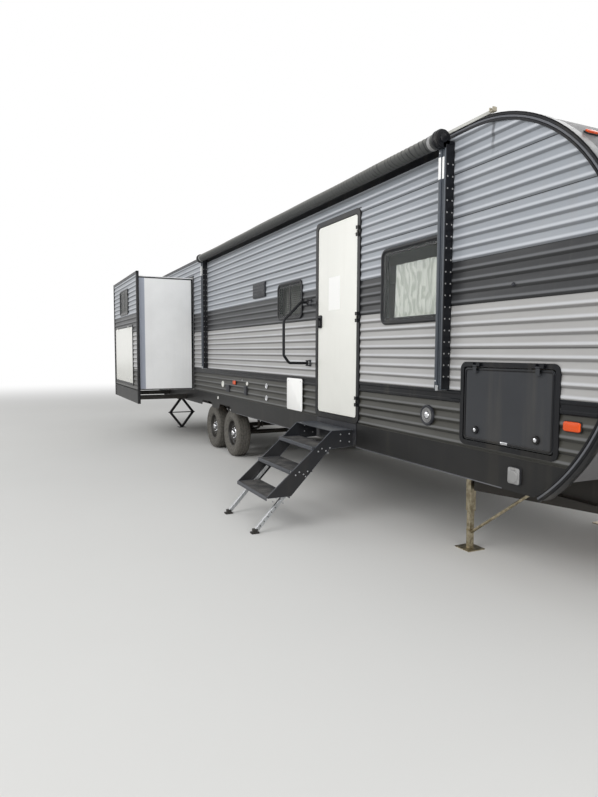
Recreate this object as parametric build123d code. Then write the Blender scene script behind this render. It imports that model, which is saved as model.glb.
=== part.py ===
from build123d import *
import math
import os

# Travel caravan with two slide-out rooms, in millimetres.
# X points forward to the coupler, the entry door is on the -Y side, Z is up,
# and the origin is on the ground under the middle of the overall length.

# Body
rear_x = -5850
nose_x = 4850
half_width = 1220
roof_edge_z = 3030
roof_crown = 40
cap_upper_radius = 1200
cap_lower_radius = 1300
lower_arc_drop = 1330
wall_thickness = 50
cap_thickness = 40
roof_thickness = 60
floor_top_z = 890
floor_thickness = 90
edge_trim_width = 45
edge_trim_proud = 6
least_corner = 8
cut_margin = 10

# Siding
siding_base = 2
siding_rib = 6
siding_panel = 295
ribs_per_panel = 4
rib_foot = 0.04
rib_crest = 0.20
rib_shoulder = 0.55
rib_heel = 0.96
belt_z = 1258
belt_height = 81
belt_proud = 8
belt_lap = 10
skirt_bottom_z = 675
skirt_top_z = 885
skirt_thickness = 4
notch_half_width = 290
notch_height = 75
notch_slope = 55

# Chassis
rail_y = 780
rail_height = 200
rail_flange = 100
rail_metal = 8
rail_front_x = 4400
tongue_depth = 128
tongue_width = 50
tongue_rear_x = 3300
tongue_front_x = 5640
tongue_wall = 6
tongue_crossbar = 60
crossmember_width = 60
crossmember_depth = 110
crossmember_places = (-5600, -4500, -3400, -2350, -1300, -250, 800, 1850, 2850, 3850)
outrigger_width = 40
outrigger_tip_depth = 45
outrigger_rise = 20
outrigger_places = (-5600, -3250, -900, -100, 800, 1900, 2900, 3900)
slide_pad_half = 40
bumper_size = 100
bumper_metal = 4
bumper_rise = 10
bumper_end_inset = 120
bumper_arm_half = 30
underbelly_sheet = 4
underbelly_rear_gap = 100

# Running gear
wheel_radius = 340
tyre_width = 205
tyre_bead_radius = 192
rim_width = 150
tyre_outer_inset = 90
tyre_bead_inset = 30
tyre_wall_rise = 94
tyre_shoulder_inset = 30
tyre_sides = 64
front_axle_x = -1506
rear_axle_x = -2395
axle_tube_radius = 32
spindle_radius = 19
hub_radius = 48
drum_radius = 128
drum_wall = 14
drum_width = 70
drum_inset = 56
backing_plate_radius = 120
backing_plate_thickness = 6
running_gap = 6
fit_gap = 0.3
spring_half_span = 310
spring_leaf = 8
spring_leaves = 4
spring_width = 45
spring_eye_z = 478
spring_seat_pad = 8
spring_seat_half = 40
spring_seat_lap = 12
spring_taper = 0.22
hanger_half = 60
hanger_cheek = 8
hanger_pin_radius = 8
rocker_rise = 34
rocker_drop = 20
wheel_vents = 8
wheel_vent_radius = 13
wheel_vent_circle = 132

# Coupler and jack
coupler_front_x = 5950
ball_radius = 29.4
ball_x = 5885
ball_z = 500
coupler_metal = 7
coupler_lap = 110
coupler_half_width = 62
coupler_plate = 8
coupler_lip = 18
tongue_end_gap = 12
jack_x = 5400
jack_outer_radius = 29
jack_inner_radius = 25
jack_outer_bottom_z = 440
jack_outer_top_z = 1030
jack_foot_radius = 75
jack_foot_thickness = 8
jack_inner_top_z = 620
jack_collar_height = 30
jack_flange_radius = 88
jack_flange_thickness = 10
jack_head_size = (170, 130, 190)
jack_head_round = 22
jack_head_forward = 20
jack_plate_thickness = 3
jack_plate_back = 110
jack_plate_front = 100

# Gas cylinders and battery
gas_radius = 155
gas_height = 560
gas_x = 4960
gas_y = 172
gas_base_z = 612
gas_foot_height = 40
gas_collar_inset = 50
gas_collar_height = 120
gas_collar_metal = 4
gas_neck_radius = 22
rack_rear_x = 4540
rack_half_width = 330
rack_thickness = 12
rack_rod_radius = 8
rack_bar_half = 150
battery_x = 4650
battery_length = 180
battery_width = 300
battery_height = 200
battery_lid_height = 40
battery_lid_lap = 10
battery_round = 20

# Entry door
door_x0 = 1443
door_x1 = 2285
door_z0 = 892
door_z1 = 2780
door_frame_width = 45
door_frame_proud = 12
door_thickness = 40
door_proud = 6
door_gap = 6
door_corner = 60
door_hinge_inset = 200
latch_x_in = 48
latch_z = 1825
latch_width = 66
latch_height = 124
latch_proud = 14
lever_stand_off = 30
lever_thickness = 12
lever_length = 90

# Windows
window_frame_width = 36
window_frame_proud = 14
window_lap = 14
window_corner = 70
glass_thickness = 5

# Hinges
knuckle_radius = 6
pin_radius = 3
hinge_length = 90
hinge_strap_half = 2
hinge_tab_start = 8
hinge_tab = 20
hinge_lift = 7

# Baggage doors
hatch_x0 = 3623
hatch_x1 = 4450
hatch_z0 = 911
hatch_z1 = 1467
hatch_frame_width = 32
hatch_thickness = 30
hatch_corner = 50
hatch_lap = 10
hatch_frame_proud = 8
hatch_proud = 4
hatch_hinge_inset = 150
hatch_latch_radius = 24
hatch_latch_rise = 70
hatch_latch_inset = 120
hatch_latch_proud = 11

# Slide-out rooms
slide_wall = 35
slide_floor_gap = 7
slide_opening_gap = 8
slide_flange = 45
slide_face_thickness = 30
slide_inner_end = 60
slide_rail_height = 75
slide_rail_width = 50
slide_rail_top_z = 775
slide_rail_inner_y = 680
slide_face_rise = 25
slide_trim_proud = 14
slide_stop_thickness = 25
kitchen_hinge_inset = 350
kitchen_latch_inset = 250

# Steps
step_x0 = 1482
step_x1 = 2218
step_top_z = 835
step_top_reach = 235
step_reach = 850
step_bottom_z = 298
step_heel_reach = 632
step_throat_reach = 262
step_throat_z = 676
step_back_z = 690
step_wall_gap = 22
step_plate = 12
step_landing = 6
step_pivot_out = 34
step_pivot_drop = 20
step_pin_radius = 8
tread_front = 430
tread_top_z = 703
step_rise = 200
step_run = 216
tread_depth = 215
tread_thickness = 30
step_leg_width = 25
step_leg_depth = 32
step_leg_top = (560, 430)
step_foot_reach = 948
step_foot_height = 14
step_foot_half = 34
step_bracket_width = 60
step_ear_half = 16
step_ear_metal = 10
step_ear_notch = 62

# Grab handle
handle_x = 1305
handle_reach = 300
handle_z0 = 1415
handle_z1 = 2030
handle_radius = 14
handle_axis_out = 36
handle_bend = 40
handle_foot_slope = 60
handle_shoulder = 190
handle_knuckle_radius = 12
handle_knuckle_length = 36
handle_pin_radius = 5
handle_plate = 5
handle_plate_half = 34

# Awning
awning_front_x = 3467
awning_rear_x = -2350
awning_z = 2965
awning_radius = 52
awning_stand_off = 95
awning_arm_width = 62
awning_arm_depth = 88
awning_arm_foot_z = 1270
awning_arm_step = 9
awning_cap_radius = 64

# Stabilizers
front_jack_x = 3250
front_jack_brace = 620
front_jack_leg = 52
front_jack_inner = 40
front_jack_sleeve_z = 300
jack_pad_half = 80
jack_pad_thickness = 8
rear_jack_x = -5150
rear_jack_y = 930
rear_jack_half_width = 230
rear_jack_arm = (40, 44)
rear_jack_screw_radius = 10

# Roof equipment
air_conditioner_places = (-3600, 1500)
air_conditioner_base = (760, 660, 40)
air_conditioner_foot = (900, 700)
air_conditioner_top = (700, 560)
air_conditioner_height = 300
roof_hatch_places = (-4800, -600, 2700)
roof_hatch_size = 400
roof_hatch_height = 125
vent_pipe_places = ((-2300, 600), (500, -500), (3000, 500))
vent_pipe_radius = 45
vent_pipe_height = 120

# Ladder
ladder_near_y = half_width - 800
ladder_far_y = half_width - 420
ladder_bottom_z = 760
ladder_top_z = 3090
ladder_stand_off = 68
ladder_rail_radius = 13
ladder_rung_radius = 11
ladder_first_rung_z = 900
ladder_rung_pitch = 320
ladder_rungs = 7
ladder_foot_places = (800, 1900, 2900)
ladder_foot_radius = 10

# Lamps
tail_lamp_y = 950
tail_lamp_z = 1010
tail_lamp_size = (210, 110)
tail_lamp_proud = 26
bar_lamp_pitch = 300
bar_lamp_z = 2920
bar_lamp_size = (110, 30)
bar_lamp_proud = 20
marker_size = (120, 62)
marker_proud = 18
front_marker_x = 4540
front_marker_z = 1126
door_marker_x = -1040
off_marker_x = -2500
rear_marker_z = 1104
cap_lamp_y = 1050
cap_lamp_turn = 49
cap_lamp_size = (34, 104, 20)

# Fittings on the walls
speaker_x = 3265
speaker_z = 1068
speaker_radius = 75
speaker_proud = 14
fitting_corner = 12

# Worked out from the sizes above
wall_y = half_width - siding_base - siding_rib
wall_inner_y = wall_y - wall_thickness
floor_bottom_z = floor_top_z - floor_thickness
rail_top_z = floor_bottom_z
rail_bottom_z = rail_top_z - rail_height
upper_centre_x = nose_x - cap_upper_radius
upper_centre_z = roof_edge_z - cap_upper_radius
lower_centre_x = nose_x - cap_lower_radius
lower_centre_z = roof_edge_z - lower_arc_drop
tyre_outer_y = half_width - tyre_outer_inset
tyre_centre_y = tyre_outer_y - tyre_width / 2
siding_y = wall_y + siding_base + siding_rib
rib_pitch = siding_panel / ribs_per_panel
tongue_top_z = rail_bottom_z
spring_seat_z = wheel_radius + axle_tube_radius + spring_seat_pad + spring_leaves * spring_leaf
tongue_bottom_z = tongue_top_z - tongue_depth
drum_outer_y = tyre_centre_y + rim_width / 2 - drum_inset
axles_middle_x = (front_axle_x + rear_axle_x) / 2
step_pivot_y = -(siding_y + step_pivot_out)
step_pivot_z = step_top_z - step_pivot_drop
door_hinge_x = door_x1 - door_frame_width + knuckle_radius
door_hinge_y = -(siding_y + door_frame_proud + knuckle_radius + hinge_tab_start)
door_hinge_places = (door_z0 + door_hinge_inset, (door_z0 + door_z1) / 2, door_z1 - door_hinge_inset)
hatch_hinge_z = hatch_z1 - hatch_frame_width + hinge_tab_start
hatch_hinge_y = siding_y + hatch_frame_proud + knuckle_radius + hinge_lift
hatch_hinge_places = (hatch_x0 + hatch_hinge_inset, hatch_x1 - hatch_hinge_inset)
bumper_half_length = half_width - bumper_end_inset
door_side = -1
off_side = 1
sharp_corner = 0

# Windows: x0, x1, z0, z1 of the frame's outside
door_side_windows = [
    (2620, 3420, 1750, 2360),
    (469, 1120, 1880, 2290),
]
off_side_windows = [
    (2620, 3420, 1750, 2360),
    (-4900, -4150, 1880, 2290),
]

# Slide-out rooms: which side, how far out, x0, x1, top z, x of the rails, windows in the face
slide_rooms = {
    "rear": {
        "side": door_side,
        "reach": 936,
        "x0": -5480,
        "x1": -3140,
        "top": 2750,
        "rails": (-4950, -3700),
        "windows": [(-4760, -3910, 2170, 2620)],
    },
    "living": {
        "side": off_side,
        "reach": 949,
        "x0": -2050,
        "x1": 1950,
        "top": 2750,
        "rails": (-650, 1350),
        "windows": [(-1700, -500, 1750, 2400), (400, 1600, 1750, 2400)],
    },
}
kitchen_hatch = (-5400, -3520, 950, 1980)

# Small fittings on a wall: side, x0, x1, z0, z1, how far proud
small_fittings = [
    (-1, -300, 100, 2190, 2370, 16),
    (-1, 4080, 4180, 725, 830, 14),
    (-1, -640, -540, 960, 1080, 18),
    (-1, -1400, -1250, 960, 1060, 14),
    (1, -3380, -2940, 960, 1360, 12),
    (1, -4050, -3520, 1420, 1760, 14),
    (1, 4080, 4180, 725, 830, 14),
]


def block(x0, x1, y0, y1, z0, z1):
    """A block between two corners."""
    middle = Pos((x0 + x1) / 2, (y0 + y1) / 2, (z0 + z1) / 2)
    return middle * Box(abs(x1 - x0), abs(y1 - y0), abs(z1 - z0))


def plate_xz(sketch, y0, y1):
    """A sketch drawn in x and z, thickened between two values of y."""
    low, high = sorted((y0, y1))
    return Pos(0, high, 0) * extrude(Plane.XZ * sketch, amount=high - low)


def plate_yz(sketch, x0, x1):
    """A sketch drawn in y and z, thickened between two values of x."""
    return Pos(x0, 0, 0) * extrude(Plane.YZ * sketch, amount=x1 - x0)


def rounded(x0, x1, z0, z1, radius):
    """A rectangle between two corners, with round corners unless the radius is 0."""
    middle = Pos((x0 + x1) / 2, (z0 + z1) / 2)
    if radius == sharp_corner:
        return middle * Rectangle(x1 - x0, z1 - z0)
    return middle * RectangleRounded(x1 - x0, z1 - z0, radius)


def polygon(points):
    """A face inside a closed run of straight lines."""
    return make_face(Polyline(*points, close=True))


def rod(start, end, radius):
    """A round bar between two points."""
    path = Line(start, end)
    return extrude(Plane(origin=start, z_dir=path @ 1 - path @ 0) * Circle(radius), amount=path.length)


def beam(start, end, sketch, x_dir):
    """A straight bar with the sketch as its section; x_dir is where the sketch's x points."""
    path = Line(start, end)
    section = Plane(origin=start, x_dir=x_dir, z_dir=path @ 1 - path @ 0) * sketch
    return extrude(section, amount=path.length)


def save(name, *solids):
    """Writes one sub-part; pieces that touch come fused, the rest stay separate solids."""
    shape = solids[0] if len(solids) == 1 else Compound(children=list(solids))
    export_step(shape, "parts/" + name + ".step")


def body_outline(inset, bottom, rear=rear_x):
    """The side view of the body, drawn in by inset along roof and nose, from bottom up."""
    top = roof_edge_z - inset
    upper = cap_upper_radius - inset
    lower = cap_lower_radius - inset
    drop = lower_centre_z - bottom
    foot_angle = math.asin(drop / lower)
    half_turn = math.radians(45)
    half_foot = foot_angle / 2
    upper_mid = (upper_centre_x + upper * math.sin(half_turn), upper_centre_z + upper * math.cos(half_turn))
    lower_mid = (lower_centre_x + lower * math.cos(half_foot), lower_centre_z - lower * math.sin(half_foot))
    foot_x = lower_centre_x + lower * math.cos(foot_angle)
    nose = nose_x - inset
    edges = [
        Line((foot_x, bottom), (rear, bottom)),
        Line((rear, bottom), (rear, top)),
        Line((rear, top), (upper_centre_x, top)),
        ThreePointArc((upper_centre_x, top), upper_mid, (nose, upper_centre_z)),
        Line((nose, upper_centre_z), (nose, lower_centre_z)),
        ThreePointArc((nose, lower_centre_z), lower_mid, (foot_x, bottom)),
    ]
    return make_face(edges)


def frame_ring(place, width, radius, y0, y1):
    """A window or door frame: a flat ring with round corners."""
    x0, x1, z0, z1 = place
    outer = rounded(x0, x1, z0, z1, radius)
    inner = rounded(x0 + width, x1 - width, z0 + width, z1 - width, max(radius - width, least_corner))
    return plate_xz(outer - inner, y0, y1)


def shrink(place, amount):
    """A place drawn in on all four sides."""
    x0, x1, z0, z1 = place
    return (x0 + amount, x1 - amount, z0 + amount, z1 - amount)


def hinge(length):
    """A hinge along +Z: the fixed end knuckles with their pin, and the middle knuckle."""
    third = length / 3
    fixed = Cylinder(pin_radius, length)
    for level in (-third, third):
        fixed += Pos(0, 0, level) * Cylinder(knuckle_radius, third)
    moving = Cylinder(knuckle_radius, third - 2 * fit_gap) - Cylinder(pin_radius + fit_gap, third)
    return fixed, moving


def siding_section(z0, z1):
    """The ribbed siding in section, from z0 up to z1: each rib juts out at its foot and leans back above."""
    low, high = siding_base, siding_base + siding_rib
    points = [(0, z0), (low, z0)]
    count = int(round((z1 - z0) / rib_pitch))
    pitch = (z1 - z0) / count
    for rib in range(count):
        foot = z0 + rib * pitch
        points += [(low, foot + rib_foot * pitch), (high, foot + rib_crest * pitch)]
        points += [(high - siding_rib / 4, foot + rib_shoulder * pitch), (low, foot + rib_heel * pitch)]
    points += [(low, z1), (0, z1)]
    return polygon(points)


# Body shell
def wall_openings(side):
    """Every hole in one side wall: x0, x1, z0, z1 and the radius of its corners."""
    windows = door_side_windows if side == door_side else off_side_windows
    holes = [(*shrink(place, window_lap), window_corner - window_lap) for place in windows]
    holes.append((*shrink((hatch_x0, hatch_x1, hatch_z0, hatch_z1), hatch_lap), hatch_corner - hatch_lap))
    if side == door_side:
        holes.append((door_x0, door_x1, door_z0, door_z1, sharp_corner))
    for room in slide_rooms.values():
        if room["side"] == side:
            holes.append((
                room["x0"] - slide_opening_gap,
                room["x1"] + slide_opening_gap,
                floor_top_z,
                room["top"] + slide_opening_gap,
                sharp_corner,
            ))
    return holes


def cut_holes(plate, holes, y0, y1):
    """Cuts a list of round-cornered holes through a plate that lies between two values of y."""
    low, high = sorted((y0, y1))
    for x0, x1, z0, z1, radius in holes:
        plate -= plate_xz(rounded(x0, x1, z0, z1, radius), low - cut_margin, high + cut_margin)
    return plate


def side_wall(side):
    """One side wall with its openings cut through."""
    wall = plate_xz(body_outline(0, floor_bottom_z), side * wall_inner_y, side * wall_y)
    return cut_holes(wall, wall_openings(side), side * wall_inner_y, side * wall_y)


def side_siding(side):
    """The ribbed metal skin of one side wall, above and below the belt and inside the edge moulding."""
    rear = rear_x + edge_trim_width
    outline = plate_xz(body_outline(edge_trim_width, skirt_top_z, rear), 0, side * 2 * half_width)
    skin = None
    for z0, z1 in ((skirt_top_z, belt_z), (belt_z, roof_edge_z - edge_trim_width)):
        strip = plate_yz(siding_section(z0, z1), rear, nose_x)
        strip = Pos(0, wall_y, 0) * strip
        strip = strip if side > 0 else mirror(strip, Plane.XZ)
        skin = strip if skin is None else skin + strip
    skin = skin & outline
    return cut_holes(skin, wall_openings(side), side * wall_y, side * siding_y)


def skirt(side):
    """The flat black skirt of one side, notched over the wheels and for the slide rails."""
    near, far = side * wall_y, side * (wall_y + skirt_thickness)
    outline = body_outline(edge_trim_width, skirt_bottom_z, rear_x + edge_trim_width)
    plate = plate_xz(outline, near, far)
    plate = plate & block(rear_x, nose_x, -2 * half_width, 2 * half_width, skirt_bottom_z, skirt_top_z)
    for axle_x in (front_axle_x, rear_axle_x):
        notch = polygon([
            (axle_x - notch_half_width, skirt_bottom_z - cut_margin),
            (axle_x + notch_half_width, skirt_bottom_z - cut_margin),
            (axle_x + notch_half_width - notch_slope, skirt_bottom_z + notch_height),
            (axle_x - notch_half_width + notch_slope, skirt_bottom_z + notch_height),
        ])
        plate -= plate_xz(notch, side * (wall_y - cut_margin), side * (wall_y + 2 * cut_margin))
    for room in slide_rooms.values():
        if room["side"] == side:
            for rail_x in room["rails"]:
                near, far = side * (wall_y - cut_margin), side * (wall_y + 2 * cut_margin)
                plate -= slide_rail_window(rail_x, near, far)
    return plate


def rear_skirt():
    """The black strip along the foot of the rear wall."""
    return block(rear_x - skirt_thickness, rear_x, -wall_inner_y, wall_inner_y, floor_bottom_z, skirt_top_z)


def slide_rail_window(rail_x, y0, y1):
    """The clear space that a slide rail runs through."""
    half = slide_rail_width / 2 + running_gap
    low = slide_rail_top_z - slide_rail_height - running_gap
    return block(rail_x - half, rail_x + half, *sorted((y0, y1)), low, slide_rail_top_z + running_gap)


def edge_trim(side):
    """The black edge moulding of one side: up the rear corner, along the roof and round the nose."""
    inside = body_outline(edge_trim_width, skirt_bottom_z - 1, rear_x + edge_trim_width)
    ring = body_outline(0, skirt_bottom_z) - inside
    trim = plate_xz(ring, side * wall_y, side * (siding_y + edge_trim_proud))
    back = rear_x - siding_base - siding_rib
    corner = block(
        back, rear_x, side * wall_inner_y, side * (siding_y + edge_trim_proud), floor_bottom_z, roof_edge_z,
    )
    return trim + corner


def belt_trim(side):
    """The black moulding between the upper and the lower siding."""
    far = side * (siding_y + belt_proud)
    low = belt_z - belt_height + belt_lap
    strip = block(rear_x + edge_trim_width, nose_x, side * siding_y, far, low, belt_z + belt_lap)
    strip = strip & plate_xz(body_outline(edge_trim_width + fit_gap, skirt_top_z), 0, side * 2 * half_width)
    for x0, x1, z0, z1, radius in wall_openings(side):
        reach = slide_flange + cut_margin
        strip -= block(
            x0 - reach, x1 + reach, side * (wall_y - cut_margin), far + side * cut_margin,
            z0 - 2 * cut_margin, z1 + 2 * cut_margin,
        )
    for fitting_side, x0, x1, z0, z1, proud in small_fittings:
        if fitting_side == side:
            strip -= block(
                x0 - cut_margin, x1 + cut_margin, side * (wall_y - cut_margin), far + side * cut_margin,
                z0 - cut_margin, z1 + cut_margin,
            )
    return strip


def front_cap():
    """The rounded front of the body, between the side walls."""
    inside = body_outline(cap_thickness, floor_bottom_z - 1, rear_x - cut_margin)
    cap = plate_xz(body_outline(0, floor_bottom_z) - inside, -wall_inner_y, wall_inner_y)
    front = block(upper_centre_x, nose_x + cut_margin, -half_width, half_width, 0, roof_edge_z + cut_margin)
    return cap & front


def roof():
    """The roof, slightly crowned so that rain runs off."""
    bottom = roof_edge_z - roof_thickness
    left, right = (-wall_inner_y, roof_edge_z), (wall_inner_y, roof_edge_z)
    crown = ThreePointArc(left, (0, roof_edge_z + roof_crown), right)
    lines = Polyline(right, (wall_inner_y, bottom), (-wall_inner_y, bottom), left)
    return plate_yz(make_face([crown] + list(lines.edges())), rear_x + wall_thickness, upper_centre_x)


def rear_wall():
    """The rear wall, between the side walls."""
    return block(rear_x, rear_x + wall_thickness, -wall_inner_y, wall_inner_y, floor_bottom_z, roof_edge_z)


def floor_slab():
    """The floor between the walls."""
    outline = body_outline(cap_thickness, floor_bottom_z, rear_x + wall_thickness)
    slab = plate_xz(outline, -wall_inner_y, wall_inner_y)
    return slab & block(rear_x, nose_x, -half_width, half_width, floor_bottom_z, floor_top_z)


# Chassis and running gear
def i_section():
    """The main rail in section, centred on its own middle."""
    web = Rectangle(rail_metal, rail_height)
    flange = Rectangle(rail_flange, rail_metal)
    lift = rail_height / 2 - rail_metal / 2
    return web + Pos(0, lift) * flange + Pos(0, -lift) * flange


def channel_section(width, depth, metal):
    """A channel, open towards -x, centred on its own middle."""
    inner = Pos(-metal, 0) * Rectangle(width, depth - 2 * metal)
    return Rectangle(width, depth) - inner


def chassis():
    """Main rails, cross members, A-frame and bumper, welded into one."""
    middle = rail_bottom_z + rail_height / 2
    frame = None
    for side in (door_side, off_side):
        rail = plate_yz(Pos(side * rail_y, middle) * i_section(), rear_x + wall_thickness, rail_front_x)
        frame = rail if frame is None else frame + rail
    inner_y = rail_y - rail_metal / 2
    level = rail_top_z - rail_metal - crossmember_depth / 2
    section = channel_section(crossmember_width, crossmember_depth, rail_metal)
    for x in crossmember_places:
        frame += beam((x, -inner_y, level), (x, inner_y, level), section, (1, 0, 0))
    for side in (door_side, off_side):
        start = (tongue_rear_x, side * rail_y, tongue_top_z - tongue_depth / 2)
        end = (tongue_front_x, side * tongue_width / 2, tongue_top_z - tongue_depth / 2)
        bore = Rectangle(tongue_width - 2 * tongue_wall, tongue_depth - 2 * tongue_wall)
        frame += beam(start, end, Rectangle(tongue_width, tongue_depth) - bore, (0, 1, 0))
    frame += block(
        tongue_rear_x, tongue_rear_x + tongue_crossbar, -rail_y, rail_y,
        tongue_bottom_z + outrigger_rise, tongue_top_z,
    )
    frame += jack_plate()
    frame -= Pos(jack_x, 0, tongue_top_z) * Cylinder(jack_outer_radius, 2 * tongue_depth)
    frame += rear_bumper()
    for room in slide_rooms.values():
        side = room["side"]
        for rail_x in room["rails"]:
            frame -= slide_rail_window(rail_x, side * (rail_y - rail_flange), side * (rail_y + rail_flange))
            bottom = slide_rail_top_z - slide_rail_height
            pad_half = slide_rail_width / 2 + running_gap
            frame += block(
                rail_x - pad_half, rail_x + pad_half,
                side * (rail_y - slide_pad_half), side * (rail_y + slide_pad_half),
                rail_bottom_z, bottom - fit_gap,
            )
    return frame


def outrigger(x, side):
    """A tapered arm that carries the body side; the one over a rear stabilizer stays deep for longer."""
    web = side * (rail_y + rail_metal / 2)
    flange = side * (rail_y + rail_flange / 2)
    tip = side * wall_inner_y
    low = rail_bottom_z + outrigger_rise
    under_flange = rail_top_z - rail_metal
    points = [(web, under_flange), (flange, under_flange), (flange, rail_top_z), (tip, rail_top_z)]
    points.append((tip, rail_top_z - outrigger_tip_depth))
    if x == rear_jack_x:
        points.append((side * (rear_jack_y + jack_pad_half + cut_margin), low))
    shape = polygon(points + [(web, low)])
    return plate_yz(shape, x - outrigger_width / 2, x + outrigger_width / 2)


def rear_bumper():
    """A square tube across the back, on two arms from the rails."""
    bottom = rail_bottom_z + bumper_rise
    top = bottom + bumper_size
    back = rear_x - bumper_size
    tube = block(back, rear_x, -bumper_half_length, bumper_half_length, bottom, top)
    tube -= block(
        back + bumper_metal, rear_x - bumper_metal, -bumper_half_length - 1, bumper_half_length + 1,
        bottom + bumper_metal, top - bumper_metal,
    )
    for side in (door_side, off_side):
        near, far = side * rail_y - bumper_arm_half, side * rail_y + bumper_arm_half
        tube += block(rear_x, rear_x + wall_thickness, near, far, bottom, top)
    return tube


def underbelly():
    """The thin sheet that closes the chassis from below, between the rails."""
    edge = rail_y - rail_flange / 2
    rear = rear_x + underbelly_rear_gap
    front = tongue_rear_x - tongue_crossbar
    return block(rear, front, -edge, edge, rail_bottom_z - underbelly_sheet, rail_bottom_z)


def faceted_ring(profile, sides):
    """A ring about the y axis with flat faces all round, from its section as radius and y."""
    faces = []
    turns = [2 * math.pi * index / sides for index in range(sides)]
    for (radius_0, y_0), (radius_1, y_1) in zip(profile, profile[1:] + profile[:1]):
        for turn_0, turn_1 in zip(turns, turns[1:] + turns[:1]):
            places = (
                (radius_0, y_0, turn_0), (radius_0, y_0, turn_1),
                (radius_1, y_1, turn_1), (radius_1, y_1, turn_0),
            )
            corners = [(radius * math.cos(turn), y, radius * math.sin(turn)) for radius, y, turn in places]
            faces.append(Face(Wire.make_polygon(corners, close=True)))
    return Solid(Shell(faces))


def tyre(axle_x, side):
    """A road tyre with sloping walls and shoulders and an open bead, as a ring of flat faces."""
    half = tyre_width / 2
    bead = tyre_bead_radius / math.cos(math.pi / tyre_sides)
    near_side = [
        (bead, half - tyre_bead_inset),
        (tyre_bead_radius + tyre_wall_rise, half),
        (wheel_radius, half - tyre_shoulder_inset),
    ]
    far_side = [(radius, -across) for radius, across in reversed(near_side)]
    ring = faceted_ring(near_side + far_side, tyre_sides)
    return Pos(axle_x, side * tyre_centre_y, wheel_radius) * ring


def wheel_disc(axle_x, side):
    """A pressed steel wheel with its hub and brake drum; its outer side is +y before it is placed."""
    half = rim_width / 2
    outer = tyre_bead_radius - fit_gap
    face = half - 36
    back = half - drum_inset
    section = polygon([
        (outer - 12, -half), (outer, -half), (outer, half), (outer - 12, half),
        (outer - 34, face), (90, face), (62, half + 4), (0, half + 8),
        (0, back), (90, back), (outer - 34, face - 10), (outer - 12, half - 50),
    ])
    disc = revolve(section, Axis.Y)
    vent = Pos(wheel_vent_circle, face, 0) * Rot(90, 0, 0) * Cylinder(wheel_vent_radius, 60)
    for index in range(wheel_vents):
        disc -= Rot(0, index * 360 / wheel_vents, 0) * vent
    drum_section = polygon([
        (spindle_radius + fit_gap, back - drum_width), (hub_radius, back - drum_width),
        (hub_radius, back - drum_wall), (drum_radius - drum_wall, back - drum_wall),
        (drum_radius - drum_wall, back - drum_width), (drum_radius, back - drum_width),
        (drum_radius, back), (0, back), (0, back - drum_wall),
        (spindle_radius + fit_gap, back - drum_wall),
    ])
    wheel = disc + revolve(drum_section, Axis.Y)
    wheel = wheel if side > 0 else mirror(wheel, Plane.XZ)
    return Pos(axle_x, side * tyre_centre_y, wheel_radius) * wheel


def axle(axle_x):
    """One axle tube with its spindles and brake backing plates."""
    drum_inner_y = drum_outer_y - drum_width
    tube_end = drum_inner_y - running_gap
    body = Rot(90, 0, 0) * Cylinder(axle_tube_radius, 2 * tube_end)
    body += Rot(90, 0, 0) * Cylinder(spindle_radius, 2 * (drum_outer_y - drum_wall - running_gap))
    for side in (door_side, off_side):
        plate = Rot(90, 0, 0) * Cylinder(backing_plate_radius, backing_plate_thickness)
        body += Pos(0, side * (tube_end - backing_plate_thickness / 2), 0) * plate
    return Pos(axle_x, 0, wheel_radius) * body


def leaf_spring(axle_x, side):
    """A pack of leaves with an eye at each end, seated on the axle tube."""
    rise = spring_eye_z - spring_seat_z
    radius = (spring_half_span ** 2 + rise ** 2) / (2 * rise)
    pack = None
    centre_z = spring_seat_z + radius
    for leaf in range(spring_leaves):
        outer = radius + leaf * spring_leaf
        half_angle = math.asin(spring_half_span / radius) * (1 - spring_taper * leaf)
        ring = Circle(outer + spring_leaf) - Circle(outer)
        wedge = polygon([
            (0, 0),
            (2 * outer * math.sin(half_angle), -2 * outer * math.cos(half_angle)),
            (-2 * outer * math.sin(half_angle), -2 * outer * math.cos(half_angle)),
        ])
        blade = ring & wedge
        pack = blade if pack is None else pack + blade
    pack = Pos(axle_x, centre_z) * pack
    for end in (-spring_half_span, spring_half_span):
        pack += Pos(axle_x + end, spring_eye_z) * Circle(16)
    low = side * rail_y - spring_width / 2
    spring = plate_xz(pack, low, low + spring_width)
    seat_bottom = wheel_radius + axle_tube_radius
    seat_top = seat_bottom + spring_seat_pad + spring_leaf / 2
    near, far = low - spring_seat_lap, low + spring_width + spring_seat_lap
    spring += block(axle_x - spring_seat_half, axle_x + spring_seat_half, near, far, seat_bottom, seat_top)
    return spring


def spring_hangers(side):
    """The three hangers under one rail that the spring eyes and the rocking link turn in."""
    hangers = []
    low = side * rail_y - spring_width / 2
    high = low + spring_width
    outer_low, outer_high = low - hanger_cheek, high + hanger_cheek
    tip = 3 * hanger_pin_radius
    for x in (front_axle_x + spring_half_span, axles_middle_x, rear_axle_x - spring_half_span):
        shape = polygon([
            (x - hanger_half, rail_bottom_z), (x + hanger_half, rail_bottom_z),
            (x + tip, spring_eye_z - tip), (x - tip, spring_eye_z - tip),
        ])
        cheeks = plate_xz(shape, outer_low, low - fit_gap)
        cheeks += plate_xz(shape, high + fit_gap, outer_high)
        cheeks += plate_xz(Pos(x, spring_eye_z) * Circle(hanger_pin_radius), outer_low, outer_high)
        hangers.append(cheeks)
    return hangers


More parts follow.
